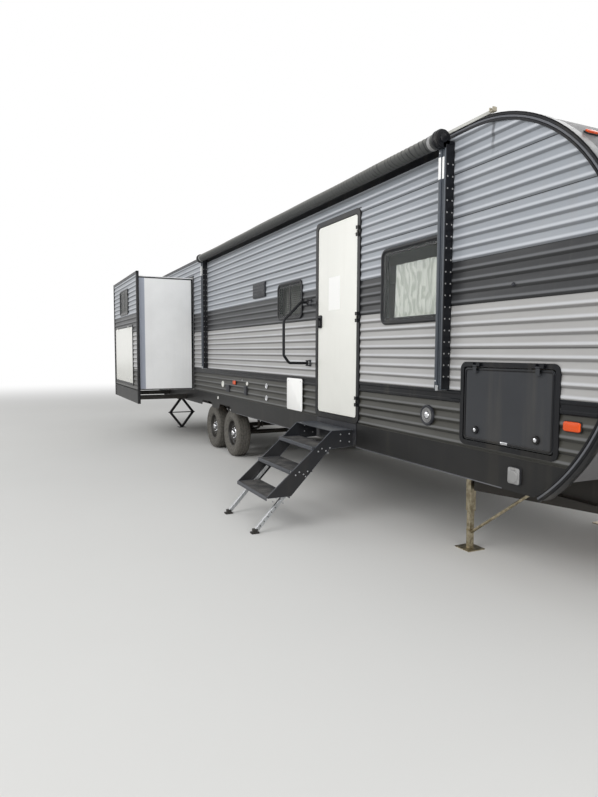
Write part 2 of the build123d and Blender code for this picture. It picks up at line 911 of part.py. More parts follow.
def running_gear(side):
    """Both springs of one side with their rocking link."""
    low = side * rail_y - spring_width / 2
    high = low + spring_width
    gear = leaf_spring(front_axle_x, side) + leaf_spring(rear_axle_x, side)
    front_end = (front_axle_x - spring_half_span, spring_eye_z)
    rear_end = (rear_axle_x + spring_half_span, spring_eye_z)
    above = (axles_middle_x, spring_eye_z + rocker_rise)
    below = (axles_middle_x, spring_eye_z - rocker_drop)
    gear += plate_xz(polygon([front_end, above, rear_end, below]), low, high)
    for x in (front_axle_x + spring_half_span, axles_middle_x, rear_axle_x - spring_half_span):
        bore = Pos(x, spring_eye_z) * Circle(hanger_pin_radius + fit_gap)
        gear -= plate_xz(bore, low - cut_margin, high + cut_margin)
    return gear


# Coupler, jack and what stands on the A-frame
def coupler():
    """The ball coupler: a pressed housing with a round socket that is open below."""
    wide, mid, narrow, tip = coupler_half_width, coupler_half_width - 12, 36, 14
    rear = tongue_front_x + tongue_end_gap
    riser_front = rear + 60
    lap_rear = tongue_front_x - coupler_lap
    top = ball_z + ball_radius + coupler_metal
    bottom = ball_z - coupler_lip
    shape = polygon([
        (rear, -wide), (coupler_front_x - 80, -mid), (coupler_front_x - 18, -narrow),
        (coupler_front_x, -tip), (coupler_front_x, tip), (coupler_front_x - 18, narrow),
        (coupler_front_x - 80, mid), (rear, wide),
    ])
    nose = extrude(Pos(0, 0, bottom) * shape, amount=top - bottom)
    riser = block(rear, riser_front, -wide, wide, bottom, tongue_top_z + coupler_plate)
    lap = block(lap_rear, riser_front, -wide, wide, tongue_top_z, tongue_top_z + coupler_plate)
    latch = block(ball_x - 150, ball_x - 60, -12, 12, top, top + 26)
    socket = Pos(ball_x, 0, ball_z) * Sphere(ball_radius + fit_gap)
    throat = Pos(ball_x, 0, ball_z - ball_radius) * Cylinder(ball_radius + fit_gap, 2 * ball_radius)
    return nose + riser + lap + latch - socket - throat


def jack_housing():
    """The outer tube of the tongue jack with its mounting flange and motor head."""
    height = jack_outer_top_z - jack_outer_bottom_z
    tube = Cylinder(jack_outer_radius, height) - Cylinder(jack_inner_radius + fit_gap, height)
    tube = Pos(jack_x, 0, jack_outer_bottom_z + height / 2) * tube
    tube += Pos(jack_x, 0, jack_outer_top_z - 10) * Cylinder(jack_outer_radius, 20)
    flange = Cylinder(jack_flange_radius, jack_flange_thickness)
    flange -= Cylinder(jack_outer_radius - 1, jack_flange_thickness)
    tube += Pos(jack_x, 0, tongue_top_z + jack_plate_thickness + jack_flange_thickness / 2) * flange
    head = fillet(Box(*jack_head_size).edges(), jack_head_round)
    return tube + Pos(jack_x + jack_head_forward, 0, jack_outer_top_z + jack_head_size[2] / 2) * head


def tongue_half_width(x):
    """How far the middle of an A-frame channel is from the middle line at x."""
    share = (tongue_front_x - x) / (tongue_front_x - tongue_rear_x)
    return tongue_width / 2 + share * (rail_y - tongue_width / 2)


def jack_plate():
    """The flat plate across the point of the A-frame that carries the jack."""
    back, front = jack_x - jack_plate_back, jack_x + jack_plate_front
    wide, narrow = tongue_half_width(back), tongue_half_width(front)
    shape = polygon([(back, -wide), (front, -narrow), (front, narrow), (back, wide)])
    plate = extrude(Pos(0, 0, tongue_top_z) * shape, amount=jack_plate_thickness)
    return plate - Pos(jack_x, 0, tongue_top_z) * Cylinder(jack_outer_radius, 4 * jack_plate_thickness)


def jack_leg():
    """The inner tube of the jack with its foot on the ground."""
    length = jack_inner_top_z - jack_foot_thickness
    tube = Pos(jack_x, 0, jack_foot_thickness + length / 2) * Cylinder(jack_inner_radius, length)
    foot = Pos(jack_x, 0, jack_foot_thickness / 2) * Cylinder(jack_foot_radius, jack_foot_thickness)
    collar = Cone(jack_inner_radius + jack_collar_height / 2, jack_inner_radius, jack_collar_height)
    return tube + foot + Pos(jack_x, 0, jack_foot_thickness + jack_collar_height / 2) * collar


def gas_cylinder(side):
    """One gas cylinder with its foot ring and collar; its ends close in by straight steps."""
    shoulder = gas_height - gas_collar_height + 25
    neck_top = gas_height - gas_foot_height
    profile = polygon([
        (0, gas_foot_height), (gas_radius - 60, gas_foot_height), (gas_radius - 20, gas_foot_height + 16),
        (gas_radius, gas_foot_height + 60), (gas_radius, shoulder - 75), (gas_radius - 16, shoulder - 38),
        (gas_radius - 58, shoulder - 12), (gas_neck_radius, shoulder), (gas_neck_radius, neck_top),
        (0, neck_top),
    ])
    tank = revolve(Plane.XZ * profile, Axis.Z)
    ring = gas_radius - gas_collar_inset
    bore = ring - gas_collar_metal
    foot_height = gas_foot_height + 20
    tank += Pos(0, 0, foot_height / 2) * (Cylinder(ring, foot_height) - Cylinder(bore, foot_height))
    collar = Cylinder(ring, gas_collar_height) - Cylinder(bore, gas_collar_height)
    collar -= Pos(ring + 10, 0, 0) * Box(90, 150, 70)
    tank += Pos(0, 0, gas_height - 80) * collar
    return Pos(gas_x, side * gas_y, gas_base_z) * tank


def gas_rack():
    """The tray under the cylinders with its hold-down rod and bar."""
    tray_top = gas_base_z
    bar_z = gas_base_z + gas_height
    front = gas_x + gas_radius - 5
    tray = block(rack_rear_x, front, -rack_half_width, rack_half_width, tray_top - rack_thickness, tray_top)
    post = Pos(gas_x, 0, gas_base_z + gas_height / 2) * Cylinder(rack_rod_radius, gas_height)
    bar = block(gas_x - 18, gas_x + 18, -rack_bar_half, rack_bar_half, bar_z, bar_z + rack_rod_radius)
    return tray + post + bar


def battery_box():
    """A plastic battery box with its lid, behind the gas cylinders."""
    top = gas_base_z + battery_height
    across = battery_width / 2
    x0, x1 = battery_x - battery_length / 2, battery_x + battery_length / 2
    lap = battery_lid_lap
    case = block(x0, x1, -across, across, gas_base_z, top)
    case = fillet(case.edges().filter_by(Axis.Z), battery_round)
    lid = block(x0 - lap, x1 + lap, -across - lap, across + lap, top, top + battery_lid_height)
    return case + fillet(lid.edges().filter_by(Axis.Z), battery_round)


# Windows, doors and hatches on the body
def window_frames(windows, side, inner_y, face_y):
    """The black clamp frames of a list of windows, from the wall's inner side to its face."""
    frames = []
    for place in windows:
        sleeve = frame_ring(
            shrink(place, window_lap), window_frame_width - window_lap,
            window_corner - window_lap, side * inner_y, side * face_y,
        )
        flange = frame_ring(
            place, window_frame_width, window_corner, side * face_y, side * (face_y + window_frame_proud),
        )
        frames.append(sleeve + flange)
    return frames


def window_panes(windows, side, face_y):
    """The glass in a list of window frames."""
    panes = []
    for place in windows:
        x0, x1, z0, z1 = shrink(place, window_frame_width)
        pane = rounded(x0, x1, z0, z1, window_corner - window_frame_width)
        panes.append(plate_xz(pane, side * face_y, side * (face_y + glass_thickness)))
    return panes


def entry_frame():
    """The entry door's frame with its sill and the fixed half of the hinges."""
    place = (door_x0, door_x1, door_z0, door_z1)
    inner = rounded(*shrink(place, door_frame_width), door_corner - door_frame_width / 2)
    face_y = siding_y + door_frame_proud
    frame = plate_xz(rounded(*place, door_corner) - inner, -wall_inner_y, -face_y)
    frame += plate_xz(rounded(*place, sharp_corner) - inner, -wall_inner_y, -siding_y)
    fixed = hinge(hinge_length)[0]
    strap_low, strap_high = door_hinge_y - hinge_strap_half, door_hinge_y + hinge_strap_half
    half = hinge_length / 6
    end = door_hinge_x + hinge_tab + knuckle_radius
    for z in door_hinge_places:
        frame += Pos(door_hinge_x, door_hinge_y, z) * fixed
        for level in (z - 2 * half, z + 2 * half):
            frame += block(door_hinge_x, end, strap_low, strap_high, level - half, level + half)
            frame += block(end - 14, end, strap_low, -face_y, level - half, level + half)
    return frame


def entry_door():
    """The entry door leaf with the moving half of the hinges."""
    place = shrink((door_x0, door_x1, door_z0, door_z1), door_frame_width + door_gap)
    outer_y = -(siding_y + door_proud)
    corner = door_corner - door_frame_width / 2 - door_gap / 2
    leaf = plate_xz(rounded(*place, corner), outer_y, outer_y + door_thickness)
    moving = hinge(hinge_length)[1]
    strap_low, strap_high = door_hinge_y - hinge_strap_half, door_hinge_y + hinge_strap_half
    half = hinge_length / 6 - fit_gap
    edge = place[1] - 30
    for z in door_hinge_places:
        leaf += Pos(door_hinge_x, door_hinge_y, z) * moving
        strap = block(edge, door_hinge_x, strap_low, strap_high, z - half, z + half)
        strap += block(edge, edge + 12, strap_low, outer_y + 1, z - half, z + half)
        bore = Pos(door_hinge_x, door_hinge_y, z) * Cylinder(pin_radius + fit_gap, hinge_length)
        leaf += strap - bore
    return leaf


def entry_handle():
    """The black latch plate with its lever on the entry door."""
    outer_y = -(siding_y + door_proud)
    x = door_x0 + door_frame_width + door_gap + latch_x_in
    half_plate, half_height = latch_width / 2, latch_height / 2
    plate = rounded(x - half_plate, x + half_plate, latch_z - half_height, latch_z + half_height, latch_proud)
    low, high = latch_z - lever_length * 0.6, latch_z + lever_length * 0.4
    near = outer_y - lever_stand_off
    far = near - lever_thickness
    handle = plate_xz(plate, outer_y - latch_proud, outer_y)
    handle += block(x - 22, x + 16, far, near, low, high)
    for z0, z1 in ((low, low + 15), (high - 25, high)):
        handle += block(x - 12, x + 8, near - lever_thickness / 2, outer_y - latch_proud / 2, z0, z1)
    return handle


def lay_along_x(shape):
    """Turns a shape that runs along Z to run along X."""
    return Rot(0, 90, 0) * shape


def hatch_hinges(places, axis_y, axis_z, face_y, leaf_top, leaf_y):
    """The hinges of a door that lifts up: the fixed half on its frame, and the moving half on its leaf."""
    fixed, moving = hinge(hinge_length)
    half = hinge_length / 6
    low, high = axis_y - hinge_strap_half, axis_y + hinge_strap_half
    frame_part, leaf_part = None, None
    for x in places:
        part = Pos(x, axis_y, axis_z) * lay_along_x(fixed)
        for middle in (x - 2 * half, x + 2 * half):
            x0, x1 = middle - half, middle + half
            part += block(x0, x1, face_y, high, axis_z + hinge_tab_start, axis_z + hinge_tab)
            part += block(x0, x1, low, high, axis_z, axis_z + hinge_tab)
        frame_part = part if frame_part is None else frame_part + part
        x0, x1 = x - half + fit_gap, x + half - fit_gap
        strap = block(x0, x1, low, high, leaf_top - 34, axis_z)
        strap += block(x0, x1, leaf_y - 1, high, leaf_top - 34, leaf_top - 22)
        strap -= Pos(x, axis_y, axis_z) * lay_along_x(Cylinder(pin_radius + fit_gap, hinge_length))
        part = Pos(x, axis_y, axis_z) * lay_along_x(moving) + strap
        leaf_part = part if leaf_part is None else leaf_part + part
    return frame_part, leaf_part


def baggage_hinges():
    """Both halves of the storage door's hinges."""
    face_y, leaf_y = siding_y + hatch_frame_proud, siding_y + hatch_proud
    leaf_top = hatch_z1 - hatch_frame_width - door_gap
    return hatch_hinges(hatch_hinge_places, hatch_hinge_y, hatch_hinge_z, face_y, leaf_top, leaf_y)


def baggage_frame(side):
    """The frame of the pass-through storage door with the fixed half of its hinges."""
    place = (hatch_x0, hatch_x1, hatch_z0, hatch_z1)
    ring = frame_ring(
        shrink(place, hatch_lap), hatch_frame_width - hatch_lap, hatch_corner - hatch_lap,
        wall_inner_y, siding_y,
    )
    ring += frame_ring(place, hatch_frame_width, hatch_corner, siding_y, siding_y + hatch_frame_proud)
    ring += baggage_hinges()[0]
    return ring if side > 0 else mirror(ring, Plane.XZ)


def latches(places, face_y, z, radius):
    """Round latches that stand on a leaf."""
    body = Rot(90, 0, 0) * Cylinder(radius, hatch_latch_proud + 1)
    made = None
    for x in places:
        latch = Pos(x, face_y + (hatch_latch_proud - 1) / 2, z) * body
        made = latch if made is None else made + latch
    return made


def baggage_door(side):
    """The storage door leaf with its two latches and the moving half of its hinges."""
    place = shrink((hatch_x0, hatch_x1, hatch_z0, hatch_z1), hatch_frame_width + door_gap)
    outer_y = siding_y + hatch_proud
    corner = hatch_corner - hatch_frame_width / 2 - door_gap
    leaf = plate_xz(rounded(*place, corner), outer_y - hatch_thickness, outer_y)
    leaf += baggage_hinges()[1]
    latch_places = (place[0] + hatch_latch_inset, place[1] - hatch_latch_inset)
    leaf += latches(latch_places, outer_y, place[2] + hatch_latch_rise, hatch_latch_radius)
    return leaf if side > 0 else mirror(leaf, Plane.XZ)


# Slide-out rooms
def slide_box(room):
    """The walls, roof and floor of a slide-out room, open at the cabin end and behind its face."""
    side = room["side"]
    outer_y = half_width + room["reach"] - slide_face_thickness
    inner_y = wall_inner_y - slide_inner_end
    bottom = floor_top_z + slide_floor_gap
    shell = block(room["x0"], room["x1"], side * inner_y, side * outer_y, bottom, room["top"])
    shell -= block(
        room["x0"] + slide_wall, room["x1"] - slide_wall,
        side * (inner_y - cut_margin), side * (outer_y + cut_margin),
        bottom + slide_wall, room["top"] - slide_wall,
    )
    stop_y = wall_inner_y - running_gap
    stop_inner_y = stop_y - slide_stop_thickness
    stop = block(
        room["x0"] - slide_flange, room["x1"] + slide_flange,
        side * stop_inner_y, side * stop_y, bottom, room["top"] + slide_flange,
    )
    stop -= block(
        room["x0"] + 1, room["x1"] - 1,
        side * (stop_inner_y - cut_margin), side * (stop_y + cut_margin),
        bottom - cut_margin, room["top"] - 1,
    )
    return shell + stop


def slide_face(room):
    """The outer wall of a slide-out room, which covers its opening when it is closed."""
    side = room["side"]
    outer_y = side * (half_width + room["reach"] - siding_base - siding_rib)
    inner_y = side * (half_width + room["reach"] - slide_face_thickness)
    x0, x1 = room["x0"] - slide_flange, room["x1"] + slide_flange
    face = block(x0, x1, inner_y, outer_y, skirt_bottom_z, room["top"] + slide_flange + slide_face_rise)
    return cut_holes(face, room_openings(room), inner_y, outer_y)


def room_openings(room):
    """The holes in a slide-out room's face."""
    holes = [(*shrink(place, window_lap), window_corner - window_lap) for place in room["windows"]]
    if room["side"] == door_side:
        holes.append((*shrink(kitchen_hatch, hatch_lap), hatch_corner - hatch_lap))
    return holes


def slide_siding(room):
    """The ribbed skin on a slide-out room's face, inside its black edge."""
    side = room["side"]
    back = half_width + room["reach"] - siding_base - siding_rib
    x0 = room["x0"] - slide_flange + edge_trim_width
    x1 = room["x1"] + slide_flange - edge_trim_width
    top = room["top"] + slide_flange + slide_face_rise - edge_trim_width
    skin = plate_yz(siding_section(belt_z, top), x0, x1)
    skin += plate_yz(siding_section(skirt_top_z, belt_z), x0, x1)
    skin = Pos(0, back, 0) * skin
    skin = skin if side > 0 else mirror(skin, Plane.XZ)
    return cut_holes(skin, room_openings(room), side * back, side * (back + siding_base + siding_rib))


def slide_trim(room):
    """The black edge moulding round a slide-out room's face, with its deep bottom board."""
    side = room["side"]
    back = half_width + room["reach"] - siding_base - siding_rib
    x0, x1 = room["x0"] - slide_flange, room["x1"] + slide_flange
    top = room["top"] + slide_flange + slide_face_rise
    outer = block(x0, x1, side * back, side * (back + slide_trim_proud), skirt_bottom_z, top)
    inner = block(
        x0 + edge_trim_width, x1 - edge_trim_width, side * (back - cut_margin),
        side * (back + slide_trim_proud + cut_margin), skirt_top_z, top - edge_trim_width,
    )
    return outer - inner


def slide_rails(room):
    """The two steel rails that carry a slide-out room."""
    side = room["side"]
    outer = half_width + room["reach"] - slide_face_thickness
    inner = slide_rail_inner_y
    top = slide_rail_top_z
    rails = []
    for x in room["rails"]:
        half = slide_rail_width / 2
        rails.append(block(x - half, x + half, side * inner, side * outer, top - slide_rail_height, top))
    return rails


def kitchen_hinges():
    """Both halves of the outside kitchen door's hinges."""
    back = half_width + slide_rooms["rear"]["reach"]
    axis_y = back + hatch_frame_proud + knuckle_radius + hinge_lift
    axis_z = kitchen_hatch[3] - hatch_frame_width + hinge_tab_start
    places = (kitchen_hatch[0] + kitchen_hinge_inset, kitchen_hatch[1] - kitchen_hinge_inset)
    leaf_top = kitchen_hatch[3] - hatch_frame_width - door_gap
    return hatch_hinges(places, axis_y, axis_z, back + hatch_frame_proud, leaf_top, back + hatch_proud)


def hatch_on_face():
    """The outside kitchen's door on the rear room, with the moving half of its hinges."""
    place = shrink(kitchen_hatch, hatch_frame_width + door_gap)
    outer_y = half_width + slide_rooms["rear"]["reach"] + hatch_proud
    corner = hatch_corner - hatch_frame_width / 2
    leaf = plate_xz(rounded(*place, corner), outer_y - hatch_thickness, outer_y)
    leaf += kitchen_hinges()[1]
    latch_places = (place[0] + kitchen_latch_inset, place[1] - kitchen_latch_inset)
    leaf += latches(latch_places, outer_y, place[2] + hatch_latch_rise, hatch_latch_radius)
    return mirror(leaf, Plane.XZ)


def hatch_frame():
    """The black frame of the outside kitchen's door with the fixed half of its hinges."""
    back = half_width + slide_rooms["rear"]["reach"]
    frame = frame_ring(
        shrink(kitchen_hatch, hatch_lap), hatch_frame_width - hatch_lap, hatch_corner - hatch_lap,
        back - slide_face_thickness, back,
    )
    frame += frame_ring(kitchen_hatch, hatch_frame_width, hatch_corner, back, back + hatch_frame_proud)
    return mirror(frame + kitchen_hinges()[0], Plane.XZ)


# Entry steps
def step_outline():
    """The side plate of the steps in y and z, on the door side's skin."""
    wall = -siding_y
    return polygon([
        (wall - step_wall_gap, step_top_z), (wall - step_top_reach, step_top_z),
        (wall - step_reach, step_bottom_z),
        (wall - step_heel_reach, step_bottom_z), (wall - step_throat_reach, step_throat_z),
        (wall - step_wall_gap, step_back_z),
    ])


def step_leg_places():
    """Where the two legs stand in x, inside the side plates."""
    shift = step_plate + step_leg_width / 2
    return (step_x0 + shift, step_x1 - shift)


def step_leg_bar(x, gap):
    """The square bar of one leg, from its side plate down to its foot, or a wider bar to cut its slot."""
    top_reach, top_z = step_leg_top
    top = (x, -siding_y - top_reach, top_z)
    foot = (x, -siding_y - step_foot_reach, step_foot_height)
    return beam(top, foot, Rectangle(step_leg_width + 2 * gap, step_leg_depth + 2 * gap), (1, 0, 0))


def step_leg(x):
    """One square leg that slides out of a side plate to its foot on the ground."""
    leg = step_leg_bar(x, 0)
    pad_y = -siding_y - step_foot_reach
    half = step_foot_half
    pad = block(x - 26, x + 26, pad_y - half, pad_y + half, 0, step_foot_height)
    ground = block(x - 60, x + 60, pad_y - 100, pad_y + 100, -100, 0)
    return leg + pad - ground


def step_frame():
    """The two side plates with the landing, the legs and the cross pin that they lift about."""
    frame = plate_yz(step_outline(), step_x0, step_x0 + step_plate)
    frame += plate_yz(step_outline(), step_x1 - step_plate, step_x1)
    for x in step_leg_places():
        frame += step_leg(x)
    inner_x0, inner_x1 = step_x0 + step_plate, step_x1 - step_plate
    frame += block(
        inner_x0, inner_x1, -siding_y - step_top_reach, -siding_y - step_wall_gap,
        step_top_z - step_landing, step_top_z,
    )
    notch = step_ear_metal / 2 + running_gap
    for x in (step_x0 + step_bracket_width, step_x1 - step_bracket_width):
        frame -= block(
            x - notch, x + notch, -siding_y - step_ear_notch, -siding_y,
            step_top_z - 2 * step_landing, step_top_z + step_landing,
        )
    middle = (step_x0 + step_x1) / 2
    pin = Pos(middle, step_pivot_y, step_pivot_z) * lay_along_x(Cylinder(step_pin_radius, step_x1 - step_x0))
    return frame + pin


def step_treads():
    """Three flat treads between the side plates."""
    treads = []
    for index in range(3):
        front = -siding_y - tread_front - index * step_run
        top = tread_top_z - index * step_rise
        tread = block(
            step_x0 + step_plate, step_x1 - step_plate,
            front, front + tread_depth, top - tread_thickness, top,
        )
        for x in step_leg_places():
            tread -= step_leg_bar(x, fit_gap)
        treads.append(tread)
    return treads


def step_bracket():
    """The mount under the door sill that the steps' pin turns in."""
    wall = -wall_y - skirt_thickness
    low, high = 700, skirt_top_z - 1
    bracket = block(step_x0 - 12, step_x1 + 12, wall - knuckle_radius, wall, low, high)
    for x in (step_x0 + step_bracket_width, step_x1 - step_bracket_width):
        bracket += block(
            x - step_ear_metal / 2, x + step_ear_metal / 2, step_pivot_y - step_ear_half, wall,
            step_pivot_z - step_ear_half, step_pivot_z + step_ear_half - 4,
        )
    middle = (step_x0 + step_x1) / 2
    bore = lay_along_x(Cylinder(step_pin_radius + fit_gap, 2 * (step_x1 - step_x0)))
    return bracket - Pos(middle, step_pivot_y, step_pivot_z) * bore


# Grab handle
def handle_posts():
    """The two brackets that the grab handle swings in."""
    posts = []
    axis_y = -(siding_y + handle_axis_out)
    plate = handle_plate_half
    for z in (handle_z0, handle_z1):
        post = block(handle_x - 20, handle_x + 20, -siding_y - handle_plate, -siding_y, z - plate, z + plate)
        for level in (z - 2 * handle_knuckle_radius, z + 2 * handle_knuckle_radius):
            post += block(
                handle_x - 12, handle_x + 12, axis_y - handle_radius, -siding_y, level - 6, level + 6,
            )
        post += Pos(handle_x, axis_y, z) * Cylinder(handle_pin_radius, 5 * handle_knuckle_radius)
        posts.append(post)
    return posts


def grab_handle():
    """The bent tube of the grab handle, swung out from the wall."""
    axis_y = -(siding_y + handle_axis_out)
    out = -(siding_y + handle_reach)
    start = axis_y - handle_radius - 2
    path = FilletPolyline(
        (handle_x, start, handle_z0),
        (handle_x, out + handle_foot_slope, handle_z0 + 2),
        (handle_x, out, handle_z0 + 2 * handle_bend),
        (handle_x, out, handle_z1 - handle_shoulder),
        (handle_x, out + handle_shoulder, handle_z1),
        (handle_x, start, handle_z1),
        radius=handle_bend,
    )
    tube = sweep(Plane(origin=path @ 0, z_dir=path % 0) * Circle(handle_radius), path=path)
    radius, length = handle_knuckle_radius, handle_knuckle_length
    for z in (handle_z0, handle_z1):
        knuckle = Cylinder(radius, length - 2 * fit_gap) - Cylinder(handle_pin_radius + fit_gap, length)
        neck = block(handle_x - 8, handle_x + 8, axis_y - 30, axis_y - 9, z - radius, z + radius)
        tube += Pos(handle_x, axis_y, z) * knuckle + neck
    return tube


# Awning
def awning_roller():
    """The rolled awning with its two end caps."""
    y = -(siding_y + awning_stand_off)
    length = awning_front_x - awning_rear_x - awning_arm_width
    middle = (awning_front_x + awning_rear_x) / 2
    return Pos(middle, y, awning_z) * lay_along_x(Cylinder(awning_radius, length))


def awning_arms():
    """The two arms that hold the roller: a channel with its sliding inner arm, on a foot at the wall."""
    arms = []
    half = awning_arm_width / 2
    front, back = -siding_y - awning_arm_depth, -siding_y
    roller_y = -(siding_y + awning_stand_off)
    for x in (awning_front_x, awning_rear_x):
        arm = block(x - half, x, front, back, awning_arm_foot_z, awning_z - 30)
        arm += block(x, x + half, front + awning_arm_step, back, awning_arm_foot_z, awning_z - 30)
        end = Pos(x, roller_y, awning_z) * lay_along_x(Cylinder(awning_cap_radius, awning_arm_width))
        link = block(x - half, x + half, roller_y, back, awning_z - 60, awning_z - 10)
        arms.append(arm + end + link)
    return arms


# Roof equipment and rear fittings
def roof_top_z(y):
    """The height of the crowned roof at y."""
    radius = (wall_inner_y ** 2 + roof_crown ** 2) / (2 * roof_crown)
    return roof_edge_z + roof_crown - radius + math.sqrt(radius ** 2 - y ** 2)


def roof_units():
    """Two air conditioners with sloping covers."""
    units = []
    base = roof_top_z(0)
    length, width, height = air_conditioner_base
    for x in air_conditioner_places:
        lower = Pos(x, 0, base + height / 2) * Box(length, width, height)
        cover = loft([
            Pos(x, 0, base + height) * RectangleRounded(*air_conditioner_foot, 90),
            Pos(x, 0, base + air_conditioner_height) * RectangleRounded(*air_conditioner_top, 80),
        ])
        units.append(lower + cover)
    return units


def roof_vents():
    """Domed lids over the roof hatches, and the pipe caps."""
    vents = []
    base = roof_top_z(0)
    size, height = roof_hatch_size, roof_hatch_height
    collar = 0.64 * height
    for x in roof_hatch_places:
        vent = Pos(x, 0, base + collar / 2) * Box(size, size, collar)
        vent += loft([
            Pos(x, 0, base + collar) * RectangleRounded(size + 10, size + 10, 40),
            Pos(x, 0, base + height) * RectangleRounded(size - 70, size - 70, 40),
        ])
        vents.append(vent)
    for x, y in vent_pipe_places:
        seat = roof_top_z(abs(y) - vent_pipe_radius)
        vents.append(Pos(x, y, seat + vent_pipe_height / 2) * Cylinder(vent_pipe_radius, vent_pipe_height))
    return vents


def ladder():
    """The rear ladder: two rails, rungs and stand-off feet."""
    x = rear_x - ladder_stand_off
    wall = rear_x - siding_base - siding_rib
    parts = None
    for y in (ladder_near_y, ladder_far_y):
        rail = rod((x, y, ladder_bottom_z), (x, y, ladder_top_z), ladder_rail_radius)
        for z in ladder_foot_places:
            rail += rod((x, y, z), (wall, y, z), ladder_foot_radius)
        parts = rail if parts is None else parts + rail
    for index in range(ladder_rungs):
        z = ladder_first_rung_z + index * ladder_rung_pitch
        parts += rod((x, ladder_near_y, z), (x, ladder_far_y, z), ladder_rung_radius)
    return parts


def rear_siding():
    """The ribbed skin on the rear wall."""
    skin = siding_section(skirt_top_z, belt_z) + siding_section(belt_z, roof_edge_z - edge_trim_width)
    strip = extrude(Plane.XZ * skin, amount=2 * wall_inner_y)
    strip = Pos(0, wall_inner_y, 0) * strip
    return Pos(rear_x, 0, 0) * mirror(strip, Plane.YZ)


def rear_top_trim():
    """The black moulding over the rear siding's upper edge."""
    back = rear_x - siding_base - siding_rib
    return block(back, rear_x, -wall_inner_y, wall_inner_y, roof_edge_z - edge_trim_width, roof_edge_z)


def tail_lamps():
    """The two tail lamps and the row of three high lamps."""
    lamps = []
    front_x = rear_x - siding_base - siding_rib
    for side in (door_side, off_side):
        shape = Pos(side * tail_lamp_y, tail_lamp_z) * RectangleRounded(*tail_lamp_size, 30)
        lamps.append(plate_yz(shape, front_x - tail_lamp_proud, front_x))
    for place in (-1, 0, 1):
        shape = Pos(place * bar_lamp_pitch, bar_lamp_z) * RectangleRounded(*bar_lamp_size, fitting_corner)
        lamps.append(plate_yz(shape, front_x - bar_lamp_proud, front_x))
    return lamps


def cap_lamps():
    """The two clearance lamps high on the rounded front, each flat on the curve."""
    lamps = []
    height, width, proud = cap_lamp_size
    turn = math.radians(cap_lamp_turn)
    reach = cap_upper_radius + fit_gap + proud / 2
    x = upper_centre_x + reach * math.cos(turn)
    z = upper_centre_z + reach * math.sin(turn)
    for side in (door_side, off_side):
        lamps.append(Pos(x, side * cap_lamp_y, z) * Rot(0, -cap_lamp_turn, 0) * Box(proud, width, height))
    return lamps


def marker_lamps():
    """The amber markers on both sides."""
    lamps = []
    half_length, half_height = marker_size[0] / 2, marker_size[1] / 2
    for side in (door_side, off_side):
        middle_x = door_marker_x if side == door_side else off_marker_x
        for x, z in ((front_marker_x, front_marker_z), (middle_x, rear_marker_z)):
            lens = rounded(x - half_length, x + half_length, z - half_height, z + half_height, fitting_corner)
            lamps.append(plate_xz(lens, side * siding_y, side * (siding_y + marker_proud)))
    return lamps


def wall_fittings():
    """The small fittings on both sides: speaker, vents, inlets, and the doors of heater and cooler."""
    speaker = Rot(90, 0, 0) * Cylinder(speaker_radius, speaker_proud)
    fittings = [Pos(speaker_x, -siding_y - speaker_proud / 2, speaker_z) * speaker]
    for side, x0, x1, z0, z1, proud in small_fittings:
        seat = wall_y + skirt_thickness if z1 < skirt_top_z else siding_y
        plate = rounded(x0, x1, z0, z1, fitting_corner)
        fittings.append(plate_xz(plate, side * seat, side * (seat + proud)))
    return fittings


# Stabilizers
def front_stabilizer(side):
    """A drop leg under the front of a rail, with its brace to the frame."""
    x, y = front_jack_x, side * rail_y
    outer, inner, pad = front_jack_leg / 2, front_jack_inner / 2, jack_pad_half
    sleeve = front_jack_sleeve_z
    brace_x = x + front_jack_brace
    leg = block(x - outer, x + outer, y - outer, y + outer, sleeve, rail_bottom_z)
    leg += block(x - inner, x + inner, y - inner, y + inner, jack_pad_thickness, sleeve)
    leg += block(x - pad, x + pad, y - pad, y + pad, 0, jack_pad_thickness)
    leg += rod((x, y - outer - 8, sleeve / 2), (x, y + outer + 8, sleeve / 2), 8)
    leg += rod((x, y, 120), (brace_x, y, rail_bottom_z - 22), 11)
    leg += block(brace_x - 20, brace_x + 20, y - 14, y + 14, rail_bottom_z - 40, rail_bottom_z)
    return leg


def rear_stabilizer(side):
    """A scissor jack across the chassis: four arms, a screw, a top plate and a foot."""
    y = side * rear_jack_y
    x = rear_jack_x
    half = rear_jack_half_width
    seat = rail_bottom_z + outrigger_rise
    top, bottom = rail_bottom_z - 14, 30
    middle = (top + bottom) / 2
    arm = Rectangle(*rear_jack_arm)
    jack = block(x - 60, x + 60, y - 90, y + 90, rail_bottom_z - 20, seat)
    jack += block(x - 75, x + 75, y - 75, y + 75, 0, jack_pad_thickness)
    jack += block(x - 25, x + 25, y - 30, y + 30, jack_pad_thickness, bottom + 12)
    for sign in (-1, 1):
        elbow = (x, y + sign * half, middle)
        jack += beam((x, y + sign * 16, top), elbow, arm, (1, 0, 0))
        jack += beam((x, y + sign * 16, bottom), elbow, arm, (1, 0, 0))
        jack += rod((x - 30, y + sign * half, middle), (x + 30, y + sign * half, middle), 20)
    jack += rod((x, y - half - 40, middle), (x, y + half + 40, middle), rear_jack_screw_radius)
    return jack


